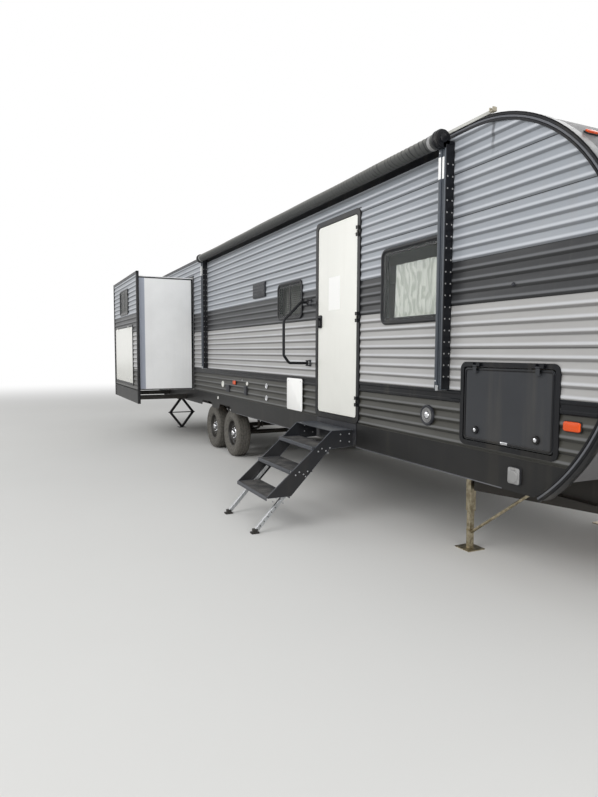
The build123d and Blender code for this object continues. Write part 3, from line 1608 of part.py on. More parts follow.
# Write every sub-part
os.makedirs("parts", exist_ok=True)
save("chassis", chassis())
save(
    "outriggers",
    *[outrigger(x, side) for x in (*outrigger_places, rear_jack_x) for side in (door_side, off_side)],
    *spring_hangers(door_side),
    *spring_hangers(off_side),
)
save("underbelly", underbelly())
save("floor", floor_slab())
save("wall_door_side", side_wall(door_side))
save("wall_off_side", side_wall(off_side))
save("wall_rear", rear_wall())
save("front_cap", front_cap())
save("roof", roof())
save("siding", side_siding(door_side), side_siding(off_side), rear_siding())
save("skirts", skirt(door_side), skirt(off_side), rear_skirt())
save(
    "body_trim",
    edge_trim(door_side), edge_trim(off_side), belt_trim(door_side), belt_trim(off_side), rear_top_trim(),
)
save("axles", axle(front_axle_x), axle(rear_axle_x))
save("leaf_springs", running_gear(door_side), running_gear(off_side))
for place, axle_x in (("front", front_axle_x), ("rear", rear_axle_x)):
    for side_name, side in (("door", door_side), ("off", off_side)):
        save("tyre_" + place + "_" + side_name, tyre(axle_x, side))
        save("wheel_" + place + "_" + side_name, wheel_disc(axle_x, side))
save("coupler", coupler())
save("tongue_jack", jack_housing())
save("jack_leg", jack_leg())
save("gas_cylinders", gas_cylinder(door_side), gas_cylinder(off_side))
save("gas_rack", gas_rack())
save("battery_box", battery_box())
save(
    "window_frames",
    *window_frames(door_side_windows, door_side, wall_inner_y, siding_y),
    *window_frames(off_side_windows, off_side, wall_inner_y, siding_y),
)
save(
    "window_panes",
    *window_panes(door_side_windows, door_side, siding_y),
    *window_panes(off_side_windows, off_side, siding_y),
)
save("door_frames", entry_frame(), baggage_frame(door_side), baggage_frame(off_side))
save("entry_door", entry_door())
save("entry_handle", entry_handle())
save("baggage_door_door", baggage_door(door_side))
save("baggage_door_off", baggage_door(off_side))
for name, room in slide_rooms.items():
    side = room["side"]
    back = half_width + room["reach"]
    frames = window_frames(room["windows"], side, back - slide_face_thickness, back)
    if side == door_side:
        frames.append(hatch_frame())
    save("slide_" + name + "_box", slide_box(room))
    save("slide_" + name + "_face", slide_face(room))
    save("slide_" + name + "_siding", slide_siding(room))
    save("slide_" + name + "_trim", slide_trim(room), *frames)
    save("slide_" + name + "_rails", *slide_rails(room))
    save("slide_" + name + "_panes", *window_panes(room["windows"], side, back))
save("kitchen_door", hatch_on_face())
save("step_frame", step_frame())
save("step_treads", *step_treads())
save("grab_handle", grab_handle())
save("awning_roller", awning_roller())
save("awning_arms", *awning_arms())
save("roof_units", *roof_units())
save("roof_vents", *roof_vents())
save("ladder", ladder())
save("lamps", *tail_lamps(), *marker_lamps(), *cap_lamps())
save("wall_fittings", *wall_fittings(), *handle_posts(), step_bracket())
save(
    "stabilizers",
    front_stabilizer(door_side), front_stabilizer(off_side),
    rear_stabilizer(door_side), rear_stabilizer(off_side),
)
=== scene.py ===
# %% [markdown]
# This lesson dresses a travel caravan: a long box on two axles, skinned in ribbed aluminium, with a
# rounded nose, two rooms that slide out of its sides, an awning and a set of fold-down steps.
# The solids come packed as a fixed frame in metres. Everything below is fitted to that frame: X points
# forward, the entry door is on the -Y side, Z is up and the ground is at z = 0.

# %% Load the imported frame
import math

import bmesh
import bpy
import numpy as np
from mathutils import Matrix, Vector


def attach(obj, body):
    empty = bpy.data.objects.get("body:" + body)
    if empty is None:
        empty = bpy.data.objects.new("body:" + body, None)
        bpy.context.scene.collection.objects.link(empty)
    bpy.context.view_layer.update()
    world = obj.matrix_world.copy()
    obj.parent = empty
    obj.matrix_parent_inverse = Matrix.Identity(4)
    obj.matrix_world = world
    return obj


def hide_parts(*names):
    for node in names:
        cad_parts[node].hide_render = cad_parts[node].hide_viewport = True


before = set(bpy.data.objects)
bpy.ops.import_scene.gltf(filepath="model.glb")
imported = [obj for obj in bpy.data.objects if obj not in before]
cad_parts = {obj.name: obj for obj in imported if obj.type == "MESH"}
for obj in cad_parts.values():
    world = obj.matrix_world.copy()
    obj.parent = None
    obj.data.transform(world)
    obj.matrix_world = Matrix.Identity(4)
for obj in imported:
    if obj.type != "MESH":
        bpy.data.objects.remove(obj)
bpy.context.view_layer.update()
scene = bpy.context.scene

# %% [markdown]
# The camera stands beside the nose at eye height and looks back along the door side. Its place and
# turn were worked out from the straight lines of the body, with the door's standard height as the
# scale. The three axes of the camera are written out, because a look-at helper would lose the roll.

# %% The camera
photo_height_px = 797
focal_px = 601.38
sensor_mm = 36.0
camera_place = Vector((6.85, -3.967, 1.527))
camera_turn = math.radians(25.285)
camera_drop = math.radians(4.412)
camera_roll = math.radians(0.21)


def camera_axes(turn, drop, roll):
    """Right, up and backward of the camera: forward is -X turned towards +Y and dipped, then rolled."""
    flat = math.cos(drop)
    forward = Vector((-math.cos(turn) * flat, math.sin(turn) * flat, -math.sin(drop)))
    level = forward.cross(Vector((0, 0, 1))).normalized()
    above = level.cross(forward)
    right = level * math.cos(roll) + above * math.sin(roll)
    up = above * math.cos(roll) - level * math.sin(roll)
    return right, up, -forward


camera_data = bpy.data.cameras.new("camera")
camera = bpy.data.objects.new("camera", camera_data)
scene.collection.objects.link(camera)
camera_data.lens = focal_px * sensor_mm / photo_height_px
camera_data.sensor_width = sensor_mm
camera_data.clip_start = 0.05
camera_data.clip_end = 200.0
right, up, back = camera_axes(camera_turn, camera_drop, camera_roll)
camera.matrix_world = Matrix.Translation(camera_place) @ Matrix((right, up, back)).transposed().to_4x4()
scene.camera = camera
print("lens in mm:", round(camera_data.lens, 2))

# %% [markdown]
# Shader maths is easier to read as arithmetic. A Wire holds one output socket, and each operator adds
# the Math node that does the sum. A Paint is one material: its node() adds any other node, with its
# settings first and then the values or wires of its sockets.

# %% Shader arithmetic


class Wire:
    """One output socket of a material, with operators that add Math nodes."""

    def __init__(self, paint, socket):
        self.paint = paint
        self.socket = socket

    def maths(self, operation, *others):
        """A Math node on this wire and the others."""
        return self.paint.node("ShaderNodeMath", {"operation": operation}, dict(enumerate((self, *others))))

    def __add__(self, other):
        return self.maths("ADD", other)

    def __mul__(self, other):
        return self.maths("MULTIPLY", other)

    def __sub__(self, other):
        return self.maths("SUBTRACT", other)

    def __rsub__(self, other):
        return self.paint.node("ShaderNodeMath", {"operation": "SUBTRACT"}, {0: other, 1: self})

    def __truediv__(self, other):
        return self.maths("DIVIDE", other)

    def __gt__(self, other):
        return self.maths("GREATER_THAN", other)

    def __lt__(self, other):
        return self.maths("LESS_THAN", other)

    def ramp(self, low, high, to_low=0.0, to_high=1.0):
        """Moves low..high to to_low..to_high with soft ends, and holds it there."""
        limits = dict(enumerate((self, low, high, to_low, to_high)))
        return self.paint.node("ShaderNodeMapRange", {"interpolation_type": "SMOOTHSTEP"}, limits)


class Paint:
    """One material being written, with its Principled shader as self.shader."""

    def __init__(self, name, **constants):
        self.material = bpy.data.materials.new(name)
        self.material.use_nodes = True
        self.tree = self.material.node_tree
        self.shader = self.tree.nodes["Principled BSDF"]
        self.place = self.node("ShaderNodeTexCoord", output="Object")
        for socket, value in constants.items():
            self.put(socket.replace("_", " ").title().replace("Ior", "IOR"), value)

    def node(self, kind, settings=None, inputs=None, output=0):
        """Adds a node, applies its settings, joins or sets its inputs, and gives the named output."""
        made = self.tree.nodes.new(kind)
        for key, value in (settings or {}).items():
            setattr(made, key, value)
        for key, value in (inputs or {}).items():
            self.join(made.inputs[key], value)
        return Wire(self, made.outputs[output])

    def join(self, socket, value):
        """Links a wire to a socket, or sets the socket to a number or a colour."""
        if isinstance(value, Wire):
            self.tree.links.new(value.socket, socket)
        elif isinstance(value, tuple) and len(value) == 3 and len(socket.default_value) == 4:
            socket.default_value = (*value, 1.0)
        else:
            socket.default_value = value

    def put(self, socket, value):
        """Gives one socket of the Principled shader a value or a wire."""
        self.join(self.shader.inputs[socket], value)

    def axis(self, name):
        """The place's X, Y or Z in metres."""
        return self.node("ShaderNodeSeparateXYZ", {}, {0: self.place}, name)

    def noise(self, scale, detail=3.0, stretch=(1, 1, 1), rough=0.55):
        """Noise between 0 and 1 whose blotches are about 1 / scale metres, stretched along an axis."""
        point = self.node("ShaderNodeVectorMath", {"operation": "MULTIPLY"}, {0: self.place, 1: stretch})
        inputs = {"Vector": point, "Scale": scale, "Detail": detail, "Roughness": rough}
        return self.node("ShaderNodeTexNoise", {}, inputs, "Fac")

    def blend(self, factor, first, second):
        """A colour between two colours."""
        settings = {"data_type": "RGBA"}
        return self.node("ShaderNodeMix", settings, {0: factor, 6: first, 7: second}, 2)

    def bump(self, height, strength, distance):
        """Roughens the surface from a height between 0 and 1."""
        inputs = {"Strength": strength, "Distance": distance, "Height": height}
        self.put("Normal", self.node("ShaderNodeBump", {}, inputs))

    def coat(self, colour, rough):
        """Sets the two sockets that every finish varies, and gives the finished material."""
        self.put("Base Color", colour)
        self.put("Roughness", rough)
        return self.material


def seen(red, green, blue):
    """A colour as the eye reads it, 0 to 255, turned into the light values that a shader takes."""
    parts = np.array((red, green, blue)) / 255.0
    return tuple(np.where(parts <= 0.04045, parts / 12.92, ((parts + 0.055) / 1.055) ** 2.4).tolist())


# %% [markdown]
# Almost every part of a caravan is painted metal or moulded plastic that has stood outdoors. One
# function covers them: a base colour, slow cloudy variation, thin streaks where rain runs down, dust
# that settles low, a roughness that follows the dirt, and a very fine grain in the surface.

# %% Weathered finishes
dust = seen(128, 120, 104)
dust_zone = (0.2, 1.4)


def weathered(name, colour, rough, cloud=0.10, streaks=0.10, dusty=0.12, grain=0.02, shine=0.5):
    """Paint or plastic that has stood outdoors; colour is given as the eye reads it."""
    paint = Paint(name, specular_ior_level=shine)
    colour = seen(*colour)
    clouds = paint.noise(1.7, 4.0)
    lines = paint.noise(9.0, 4.0, (1.0, 1.0, 0.06))
    fine = paint.noise(420.0, 2.0)
    darker = tuple(v * (1.0 - 2.2 * cloud) for v in colour)
    toned = paint.blend(clouds.ramp(0.32, 0.68), darker, colour)
    streaked = paint.blend(lines.ramp(0.50, 0.78, 0.0, streaks), toned, dust)
    low = paint.axis("Z").ramp(*dust_zone, dusty, 0.15 * dusty) * clouds.ramp(0.2, 0.7, 0.5, 1.2)
    if grain:
        paint.bump(fine, grain * 10, 0.0006)
    return paint.coat(paint.blend(low, streaked, dust), fine * 0.10 + (rough - 0.08) + low * 0.5)


black_paint = weathered("black_paint", (26, 26, 29), 0.45, dusty=0.14, shine=0.25)
black_trim = weathered("black_trim", (17, 19, 24), 0.34, dusty=0.05, shine=0.22)
black_plastic = weathered("black_plastic", (30, 31, 34), 0.5, dusty=0.08, grain=0.04, shine=0.25)
skirt_paint = weathered("skirt_paint", (30, 31, 33), 0.40, streaks=0.05, dusty=0.05, shine=0.2)
underside = weathered("underside_sheet", (22, 22, 22), 0.75, dusty=0.20, shine=0.2)
white_gel = weathered("white_gel_coat", (236, 236, 230), 0.26, cloud=0.02, streaks=0.05, dusty=0.05)
white_board = weathered("white_wall_board", (243, 244, 244), 0.30, cloud=0.03, streaks=0.05, dusty=0.03)
room_board = weathered("room_wall_board", (214, 210, 200), 0.5, cloud=0.03, streaks=0.0, dusty=0.0)
grey_gel = weathered("grey_gel_coat", (104, 103, 104), 0.5, cloud=0.04, streaks=0.06, dusty=0.05, shine=0.10)
roof_sheet = weathered("roof_membrane", (222, 222, 218), 0.6, cloud=0.05, streaks=0.0, dusty=0.1, grain=0.05)
unit_plastic = weathered("roof_unit_plastic", (218, 218, 212), 0.45, cloud=0.04, streaks=0.12, dusty=0.1)
hatch_paint = weathered("hatch_paint", (50, 52, 56), 0.46, cloud=0.06, dusty=0.04, grain=0.05, shine=0.25)
dark_plastic = weathered("dark_fitting", (44, 46, 52), 0.46, dusty=0.05, grain=0.04, shine=0.3)
grey_plastic = weathered("grey_fitting", (150, 150, 150), 0.45, dusty=0.10, grain=0.04)
blank_white = weathered("blank_white_sign", (246, 246, 244), 0.42, cloud=0.01, streaks=0.02, dusty=0.0)
gas_enamel = weathered("gas_enamel", (226, 226, 220), 0.28, cloud=0.03)
insert_paint = weathered("track_insert", (92, 94, 100), 0.5, dusty=0.08)
# The blue-grey strip beside a room's face is painted shade on its wall
reveal_painted_shade = weathered("room_reveal_painted_shade", (166, 172, 186), 0.36, cloud=0.04, dusty=0.05)
slat_white = weathered("slat_white", (226, 226, 220), 0.4, cloud=0.02, streaks=0.0, dusty=0.0)
rim_paint = weathered("rim_enamel", (30, 30, 33), 0.32, shine=0.4)
step_metal = weathered("step_enamel", (24, 28, 36), 0.36, cloud=0.06, streaks=0.05, dusty=0.08, shine=0.25)
# A paler enamel on the steps' rims, landing and tread noses
step_edge = weathered("step_pale_edge", (66, 71, 80), 0.40, cloud=0.12, dusty=0.1, shine=0.3)
channel_blue = weathered("awning_channel", (66, 72, 80), 0.34, streaks=0.05, dusty=0.03, shine=0.35)
gutter_paint = weathered("gutter_rail", (196, 196, 190), 0.4)
spout_paint = weathered("spout_plastic", (186, 178, 158), 0.5)

# %% [markdown]
# Bare metal has no colour of its own: it is the reflection that shows. Zinc is a dull warm grey with
# slow patches, chrome is bright and smooth, and the alloy of the step legs lies between the two.

# %% Bare metals
zinc_colour = (186, 176, 152)


def bare_metal(name, colour, rough, patches=0.10, scale=30.0, stretch=(1, 1, 1)):
    """Unpainted metal whose roughness and tone change in patches."""
    paint = Paint(name, metallic=1.0)
    colour = seen(*colour)
    patch = paint.noise(scale, 4.0, stretch)
    duller = tuple(v * (1.0 - 2.5 * patches) for v in colour)
    paint.bump(paint.noise(500.0, 2.0), 0.15, 0.0004)
    toned = paint.blend(patch.ramp(0.35, 0.65), duller, colour)
    return paint.coat(toned, patch * (2.0 * patches) + (rough - patches))


def jack_metal():
    """Zinc on the front drop legs and black enamel on the rear scissor jacks, told apart by X."""
    paint = Paint("stabilizer_metal", specular_ior_level=0.3)
    front = paint.axis("X") > 0.0
    patch = paint.noise(30.0, 4.0)
    plated = paint.blend(patch.ramp(0.35, 0.65), seen(140, 130, 108), seen(*zinc_colour))
    paint.put("Metallic", front)
    paint.bump(patch, 0.15, 0.0006)
    return paint.coat(paint.blend(front, seen(24, 24, 26), plated), patch * 0.25 + 0.32)


stabilizer_metal = jack_metal()
zinc = bare_metal("zinc_plate", zinc_colour, 0.42, 0.14)
chrome = bare_metal("chrome", (226, 227, 230), 0.12, 0.03)
alloy = bare_metal("mill_alloy", (190, 192, 194), 0.34, 0.10, 60.0, (1, 1, 0.1))
ladder_alloy = bare_metal("ladder_alloy", (206, 207, 208), 0.30, 0.08)

# %% [markdown]
# The ribbed skin is painted in bands that follow its panels: light grey above, one dark band along the
# windows, two lighter panels under it, and a dark olive grey below the belt. The band is read from the
# height on the object, so it needs no picture. Thin streaks and chalky patches lie over it.

# %% The painted siding
panel_height = 0.295
belt_line = 1.258
gutter_end = 3.861
stripe_low = belt_line + 2 * panel_height
stripe_high = stripe_low + panel_height
rib_pitch = panel_height / 4
upper_grey = seen(152, 157, 164)
middle_grey = seen(166, 165, 164)
stripe_grey = seen(48, 49, 51)
lower_olive = seen(52, 51, 45)


def siding_paint():
    """Satin enamel on ribbed aluminium, banded by height, with a painted highlight on the crests and painted
    shade under them.
    """
    paint = Paint("siding_enamel", specular_ior_level=0.3)
    height = paint.axis("Z")
    share = ((height - belt_line) / rib_pitch).maths("FRACT")
    seam = ((height - belt_line) / panel_height).maths("FRACT")
    # Painted highlight: each rib's crest is lightened. Painted shade: its foot and the strip just under the
    # next rib are darkened.
    crest_highlight = share.ramp(0.20, 0.32) * share.ramp(0.38, 0.56, 1.0, 0.0)
    under = share.ramp(0.15, 0.27, 1.0, 0.0) + share.ramp(0.90, 1.0, 0.0, 0.6)
    banded = paint.blend(height > stripe_high, stripe_grey, upper_grey)
    banded = paint.blend(height < stripe_low, banded, middle_grey)
    banded = paint.blend(height < belt_line - 0.02, banded, lower_olive)
    clouds = paint.noise(0.9, 4.0)
    streaks = paint.noise(14.0, 5.0, (1.0, 1.0, 0.05)).ramp(0.52, 0.80, 0.0, 0.16)
    chalk = paint.noise(5.0, 5.0, (0.25, 1.0, 1.6)).ramp(0.45, 0.75, 0.0, 0.12)
    dark_band = (height > stripe_low) * (height < stripe_high) + (height < belt_line - 0.02)
    light = 1.0 - dark_band * 0.72
    toned = paint.blend(clouds.ramp(0.3, 0.7, 0.0, 0.10) * light, banded, seen(122, 121, 118))
    toned = paint.blend(streaks * light, toned, seen(150, 148, 143))
    toned = paint.blend(chalk * light, toned, seen(206, 207, 208))
    # The painted highlight on the crests, then the painted shade at the feet of the ribs
    toned = paint.blend(crest_highlight * light * 0.40, toned, seen(234, 237, 243))
    toned = paint.blend(under * 0.46, toned, seen(32, 32, 32))
    drip = (paint.axis("X") - gutter_end).maths("ABSOLUTE").ramp(0.006, 0.018, 1.0, 0.0)
    drip = drip * height.ramp(2.74, 2.90) * (paint.axis("Y") < 0.0)
    toned = paint.blend(drip * 0.6, toned, seen(50, 50, 52))
    paint.bump(paint.noise(260.0, 3.0), 0.12, 0.0006)
    seamed = paint.blend((seam < 0.014) * 0.85, toned, seen(22, 22, 24))
    return paint.coat(seamed, clouds * 0.16 + 0.34 + streaks * 0.5)


siding_enamel = siding_paint()

# %% [markdown]
# Rubber, glass, lenses, cloth and grit need their own recipes. Tyres that have stood are taupe with dust
# on them. Tinted glass is made partly clear with Alpha, so that light still reaches the blinds.

# %% Rubber, glass, lenses, cloth and wood


def tyre_paint():
    """Dusty rubber in two close tones."""
    paint = Paint("tyre_rubber", specular_ior_level=0.25)
    clouds = paint.noise(38.0, 4.0)
    paint.bump(paint.noise(240.0, 3.0), 0.35, 0.001)
    toned = paint.blend(clouds.ramp(0.25, 0.75), seen(86, 84, 80), seen(112, 109, 103))
    return paint.coat(toned, clouds * 0.15 + 0.72)


def glass_paint(name, tint, clear):
    """Tinted safety glass, partly clear, with a faint film of dust."""
    paint = Paint(name, ior=1.5, specular_ior_level=0.35)
    film = paint.noise(3.0, 4.0)
    paint.put("Alpha", film * 0.10 + (1.0 - clear))
    return paint.coat(paint.blend(film, tint, seen(70, 78, 74)), film * 0.06 + 0.02)


def lens_paint(name, colour, glow):
    """A moulded lens with fine prisms, lit a little from within by what shines through it."""
    paint = Paint(name, coat_weight=0.25, coat_roughness=0.08, specular_ior_level=0.4, emission_strength=glow)
    inputs = {"Vector": paint.place, "Scale": 60.0}
    ribs = paint.node("ShaderNodeTexWave", {"bands_direction": "X"}, inputs, "Fac")
    toned = paint.blend(ribs, tuple(v * 0.55 for v in colour), colour)
    paint.put("Emission Color", toned)
    paint.bump(ribs, 0.4, 0.001)
    return paint.coat(toned, ribs * 0.10 + 0.15)


def board_paint():
    """A vinyl floor printed as oak planks."""
    paint = Paint("vinyl_floor", coat_weight=0.2, coat_roughness=0.3)
    grain = paint.noise(3.0, 6.0, (0.6, 12.0, 1.0))
    planks = paint.node("ShaderNodeTexBrick", {"offset": 0.5}, {
        "Vector": paint.place, "Scale": 1.0, "Color1": seen(150, 122, 92), "Color2": seen(128, 102, 76),
        "Mortar": seen(70, 54, 40), "Mortar Size": 0.004, "Brick Width": 1.2, "Row Height": 0.15,
    })
    paint.bump(grain, 0.2, 0.001)
    grained = paint.blend(grain.ramp(0.4, 0.7, 0.0, 0.5), planks, seen(104, 80, 58))
    return paint.coat(grained, grain * 0.15 + 0.38)


def curtain_paint():
    """Thin white voile whose lace lines are the level lines of a slow hilly field, as on a map, with a faint
    painted glow.
    """
    paint = Paint("voile", sheen_weight=0.3, transmission_weight=0.0, emission_strength=0.34)
    wander = paint.noise(5.0, 2.5, (1.0, 0.2, 0.45))
    lines = ((wander * 9.0 + paint.axis("X") * 26.0) * math.tau).maths("SINE")
    weave = lines.ramp(-0.9, 0.4)
    paint.put("Alpha", weave * 0.12 + 0.86)
    # Painted glow: the voile gives off light of its own, though it is no lamp
    paint.put("Emission Color", paint.blend(weave, seen(207, 213, 204), seen(228, 233, 224)))
    paint.bump(lines, 0.3, 0.002)
    return paint.coat(paint.blend(weave, seen(221, 226, 218), seen(240, 243, 237)), wander * 0.2 + 0.7)


def grip_paint():
    """Black grit sheet on the treads, worn grey where feet land."""
    paint = Paint("tread_grit", specular_ior_level=0.4)
    wear = paint.noise(6.0, 4.0)
    paint.bump(paint.noise(700.0, 2.0), 0.8, 0.0012)
    toned = paint.blend(wear.ramp(0.35, 0.75, 0.0, 0.7), seen(48, 48, 50), seen(112, 110, 106))
    return paint.coat(toned, wear * 0.1 + 0.78)


tyre_rubber = tyre_paint()
window_glass = glass_paint("tinted_glass", seen(24, 32, 30), 0.84)
amber_lens = lens_paint("amber_lens", seen(236, 84, 8), 0.04)
red_lens = lens_paint("red_lens", seen(206, 34, 24), 0.05)
vinyl_floor = board_paint()
voile = curtain_paint()
grip = grip_paint()

# %% [markdown]
# Surfaces are worked out as whole arrays. A grid of points becomes faces by joining each point with
# its neighbours, and several surfaces are gathered in one Shape before they become one piece.

# %% Grids, shapes and pieces


def points_at(x, y, z):
    """Points from three coordinates, each an array or one number for all."""
    return np.stack(np.broadcast_arrays(x, y, z), -1)


def grid_faces(rows, columns, wrap_rows=False, wrap_columns=False):
    """Face (i, j) joins points (i, j), (i, j+1), (i+1, j+1) and (i+1, j); a wrapped grid closes on itself."""
    down, across = np.arange(rows - (not wrap_rows)), np.arange(columns - (not wrap_columns))
    i, j = np.meshgrid(down, across, indexing="ij")
    k, l = (i + 1) % rows, (j + 1) % columns
    joined = (i * columns + j, i * columns + l, k * columns + l, k * columns + j)
    return np.stack(joined, -1).reshape(-1, 4).tolist()


def ends(rows, columns):
    """The two faces that fill the first and the last row of a grid."""
    last = (rows - 1) * columns
    return [list(range(columns)), list(range(last, last + columns))]


class Shape:
    """Surfaces gathered for one piece, each with the number of its finish."""

    def __init__(self):
        self.points = []
        self.faces = []
        self.finish = []
        self.count = 0

    def add(self, surface, finish=0):
        """Adds (points, faces), which is what every surface function gives."""
        points, faces = surface
        points = np.asarray(points, float).reshape(-1, 3)
        self.faces += [[corner + self.count for corner in face] for face in faces]
        self.finish += [finish] * len(faces)
        self.points.append(points)
        self.count += len(points)
        return self

    def build(self, name, body, *materials, replaces=(), slot=None, angle=35.0, bevel=0.0):
        """Makes the mesh, turns its faces outwards, smooths it up to an angle and lets it ride on a body."""
        mesh = bpy.data.meshes.new(name)
        mesh.from_pydata(np.concatenate(self.points).tolist(), [], self.faces)
        for material in materials:
            mesh.materials.append(material)
        mesh.polygons.foreach_set("material_index", np.array(self.finish, np.int32))
        work = bmesh.new()
        work.from_mesh(mesh)
        bmesh.ops.remove_doubles(work, verts=work.verts, dist=1e-5)
        bmesh.ops.recalc_face_normals(work, faces=work.faces)
        work.to_mesh(mesh)
        work.free()
        mesh.shade_smooth()
        mesh.set_sharp_from_angle(angle=math.radians(angle))
        piece = bpy.data.objects.new(name, mesh)
        scene.collection.objects.link(piece)
        if bevel:
            edge = piece.modifiers.new("edge", "BEVEL")
            edge.width = bevel
            edge.segments = 2
            edge.limit_method = "ANGLE"
            edge.angle_limit = math.radians(40)
        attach(piece, body)
        if replaces:
            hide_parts(*replaces)
        print(name, "faces:", len(mesh.polygons))
        return piece


# %% [markdown]
# Five families of surface make nearly every piece: a section swept along a path, a profile turned
# round an axis, rows of drawn-in outlines for frames, many small blocks at once, and many domed heads.

# %% Surface families


def swept(section, path, across, above):
    """Point (i, j) is path[i] + section[j].x * across[i] + section[j].y * above[i], with both ends filled."""
    section, path = np.asarray(section, float), np.asarray(path, float)
    across, above = (np.broadcast_to(np.asarray(way, float), path.shape)[:, None] for way in (across, above))
    points = path[:, None] + section[None, :, :1] * across + section[None, :, 1:] * above
    return points, grid_faces(len(path), len(section), False, True) + ends(len(path), len(section))


def circle(axis, around):
    """Unit vectors that run once round an axis."""
    first = np.cross(axis, (0.0, 0.0, 1.0) if abs(axis[2]) < 0.9 else (1.0, 0.0, 0.0))
    first = first / np.linalg.norm(first)
    angle = np.linspace(0, 2 * np.pi, around, endpoint=False)[:, None]
    return np.cos(angle) * first + np.sin(angle) * np.cross(axis, first)


def turned(profile, centre, axis, around=48):
    """Point (i, j) is centre + height_j * axis + radius_j * (a circle round the axis at turn i)."""
    profile, axis = np.asarray(profile, float), np.asarray(axis, float)
    ring = circle(axis, around)[:, None]
    points = np.asarray(centre) + profile[None, :, :1] * ring + profile[None, :, 1:] * axis
    return points, grid_faces(around, len(profile), True, False)


def shrunk(place, inset):
    """A rectangle drawn in on all four sides."""
    return place[0] + inset, place[1] - inset, place[2] + inset, place[3] - inset


def rounded_outline(x0, x1, z0, z1, radius):
    """A rectangle with round corners, as points (x, z) that run round it once."""
    angle = np.linspace(0, np.pi / 2, 7)
    corners = []
    for quarter, (x, z) in enumerate(((x1, z1), (x0, z1), (x0, z0), (x1, z0))):
        turn = angle + quarter * np.pi / 2
        inner = (x - math.copysign(radius, x - (x0 + x1) / 2), z - math.copysign(radius, z - (z0 + z1) / 2))
        corners.append(np.stack([inner[0] + radius * np.cos(turn), inner[1] + radius * np.sin(turn)], -1))
    return np.concatenate(corners)


def framed(place, radius, rows, side):
    """Row j is the outline drawn in by rows[j][0], at depth rows[j][1]; the grid closes both ways."""
    stack = []
    for inset, depth in rows:
        ring = rounded_outline(*shrunk(place, inset), max(radius - inset, 0.006))
        stack.append(points_at(ring[:, 0], side * depth, ring[:, 1]))
    return np.stack(stack), grid_faces(len(rows), len(stack[0]), True, True)


def raised(place, radius, rows, side):
    """A plate or dome: outline j is drawn in by rows[j][0] at depth rows[j][1]; both ends are filled."""
    points, faces = framed(place, radius, rows, side)
    around = points.shape[1]
    return points, faces[:(len(rows) - 1) * around] + ends(len(rows), around)


def placed(surface, origin, across, out, up):
    """Point (x, y, z) goes to origin + x * across + y * out + z * up."""
    points, faces = surface
    points = np.asarray(points, float).reshape(-1, 3)
    return np.asarray(origin, float) + points @ np.array((across, out, up), float), faces


def blocks(centres, sizes):
    """Many blocks at once: corner k of a block is its centre plus or minus half its size."""
    centres = np.atleast_2d(np.asarray(centres, float))
    sizes = np.broadcast_to(np.asarray(sizes, float), centres.shape)
    signs = np.array([(x, y, z) for x in (-1, 1) for y in (-1, 1) for z in (-1, 1)]) / 2
    points = centres[:, None] + signs[None] * sizes[:, None]
    one = np.array([(0, 1, 3, 2), (4, 6, 7, 5), (0, 4, 5, 1), (2, 3, 7, 6), (0, 2, 6, 4), (1, 5, 7, 3)])
    faces = (one[None] + 8 * np.arange(len(centres))[:, None, None]).reshape(-1, 4)
    return points, faces.tolist()


def span(low, high):
    """One block between two corners."""
    low, high = np.asarray(low, float), np.asarray(high, float)
    return blocks((low + high) / 2, np.abs(high - low))


def heads(centres, normal, radius, height, around=10, rings=3):
    """Many domed heads: ring r of a head has radius * cos(t) and stands height * sin(t) above its seat."""
    centres = np.atleast_2d(np.asarray(centres, float))
    normal = np.asarray(normal, float)
    lift = np.linspace(0, np.pi / 2, rings + 1)[:-1, None, None]
    dome = radius * np.cos(lift) * circle(normal, around) + height * np.sin(lift) * normal
    one = np.concatenate([dome.reshape(-1, 3), [height * normal]])
    last = (rings - 1) * around
    faces = grid_faces(rings, around, False, True)
    faces += [[last + k, last + (k + 1) % around, rings * around] for k in range(around)]
    shifts = [len(one) * n for n in range(len(centres))]
    every = [[corner + shift for corner in face] for shift in shifts for face in faces]
    return centres[:, None] + one, every


def rod(start, end, radius, around=12):
    """A round bar between two points."""
    run = np.subtract(end, start)
    length = float(np.linalg.norm(run))
    return turned([(0, 0), (radius, 0), (radius, length), (0, length)], start, run / length, around)


# %% [markdown]
# Sizes that several pieces share, in metres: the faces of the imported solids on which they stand, and
# the places of the windows, doors and rooms as (x0, x1, z0, z1).

# %% Shared sizes
door_side = -1
off_side = 1
sides = {door_side: "door", off_side: "off"}
face_y = 1.220
wall_y = 1.212
rear_x = -5.850
nose_x = 4.850
roof_edge = 3.030
skirt_low = 0.675
skirt_high = 0.885
trim_width = 0.045
upper_arc = 1.200
lower_arc = 1.300
upper_centre = (nose_x - upper_arc, roof_edge - upper_arc)
lower_centre = (nose_x - lower_arc, 1.700)
windows = {
    door_side: [(2.620, 3.420, 1.750, 2.360), (0.469, 1.120, 1.880, 2.290)],
    off_side: [(2.620, 3.420, 1.750, 2.360), (-4.900, -4.150, 1.880, 2.290)],
}
baggage_hatch = (3.623, 4.450, 0.911, 1.467)
entry_place = (1.443, 2.285, 0.892, 2.780)
heater_place = (-3.374, -2.946, 0.966, 1.354)
cooler_place = (-4.044, -3.526, 1.426, 1.754)
rooms = {
    "rear": {
        "side": door_side, "face": 2.156, "x": (-5.480, -3.140),
        "windows": [(-4.760, -3.910, 2.170, 2.620)],
    },
    "living": {
        "side": off_side, "face": 2.169, "x": (-2.050, 1.950),
        "windows": [(-1.700, -0.500, 1.750, 2.400), (0.400, 1.600, 1.750, 2.400)],
    },
}
room_beside = {room["side"]: room for room in rooms.values()}
room_top = 2.750
room_flange = 0.045
room_face_top = room_top + room_flange + 0.025
kitchen_hatch = (-5.400, -3.520, 0.950, 1.980)
opening_gap = 0.008


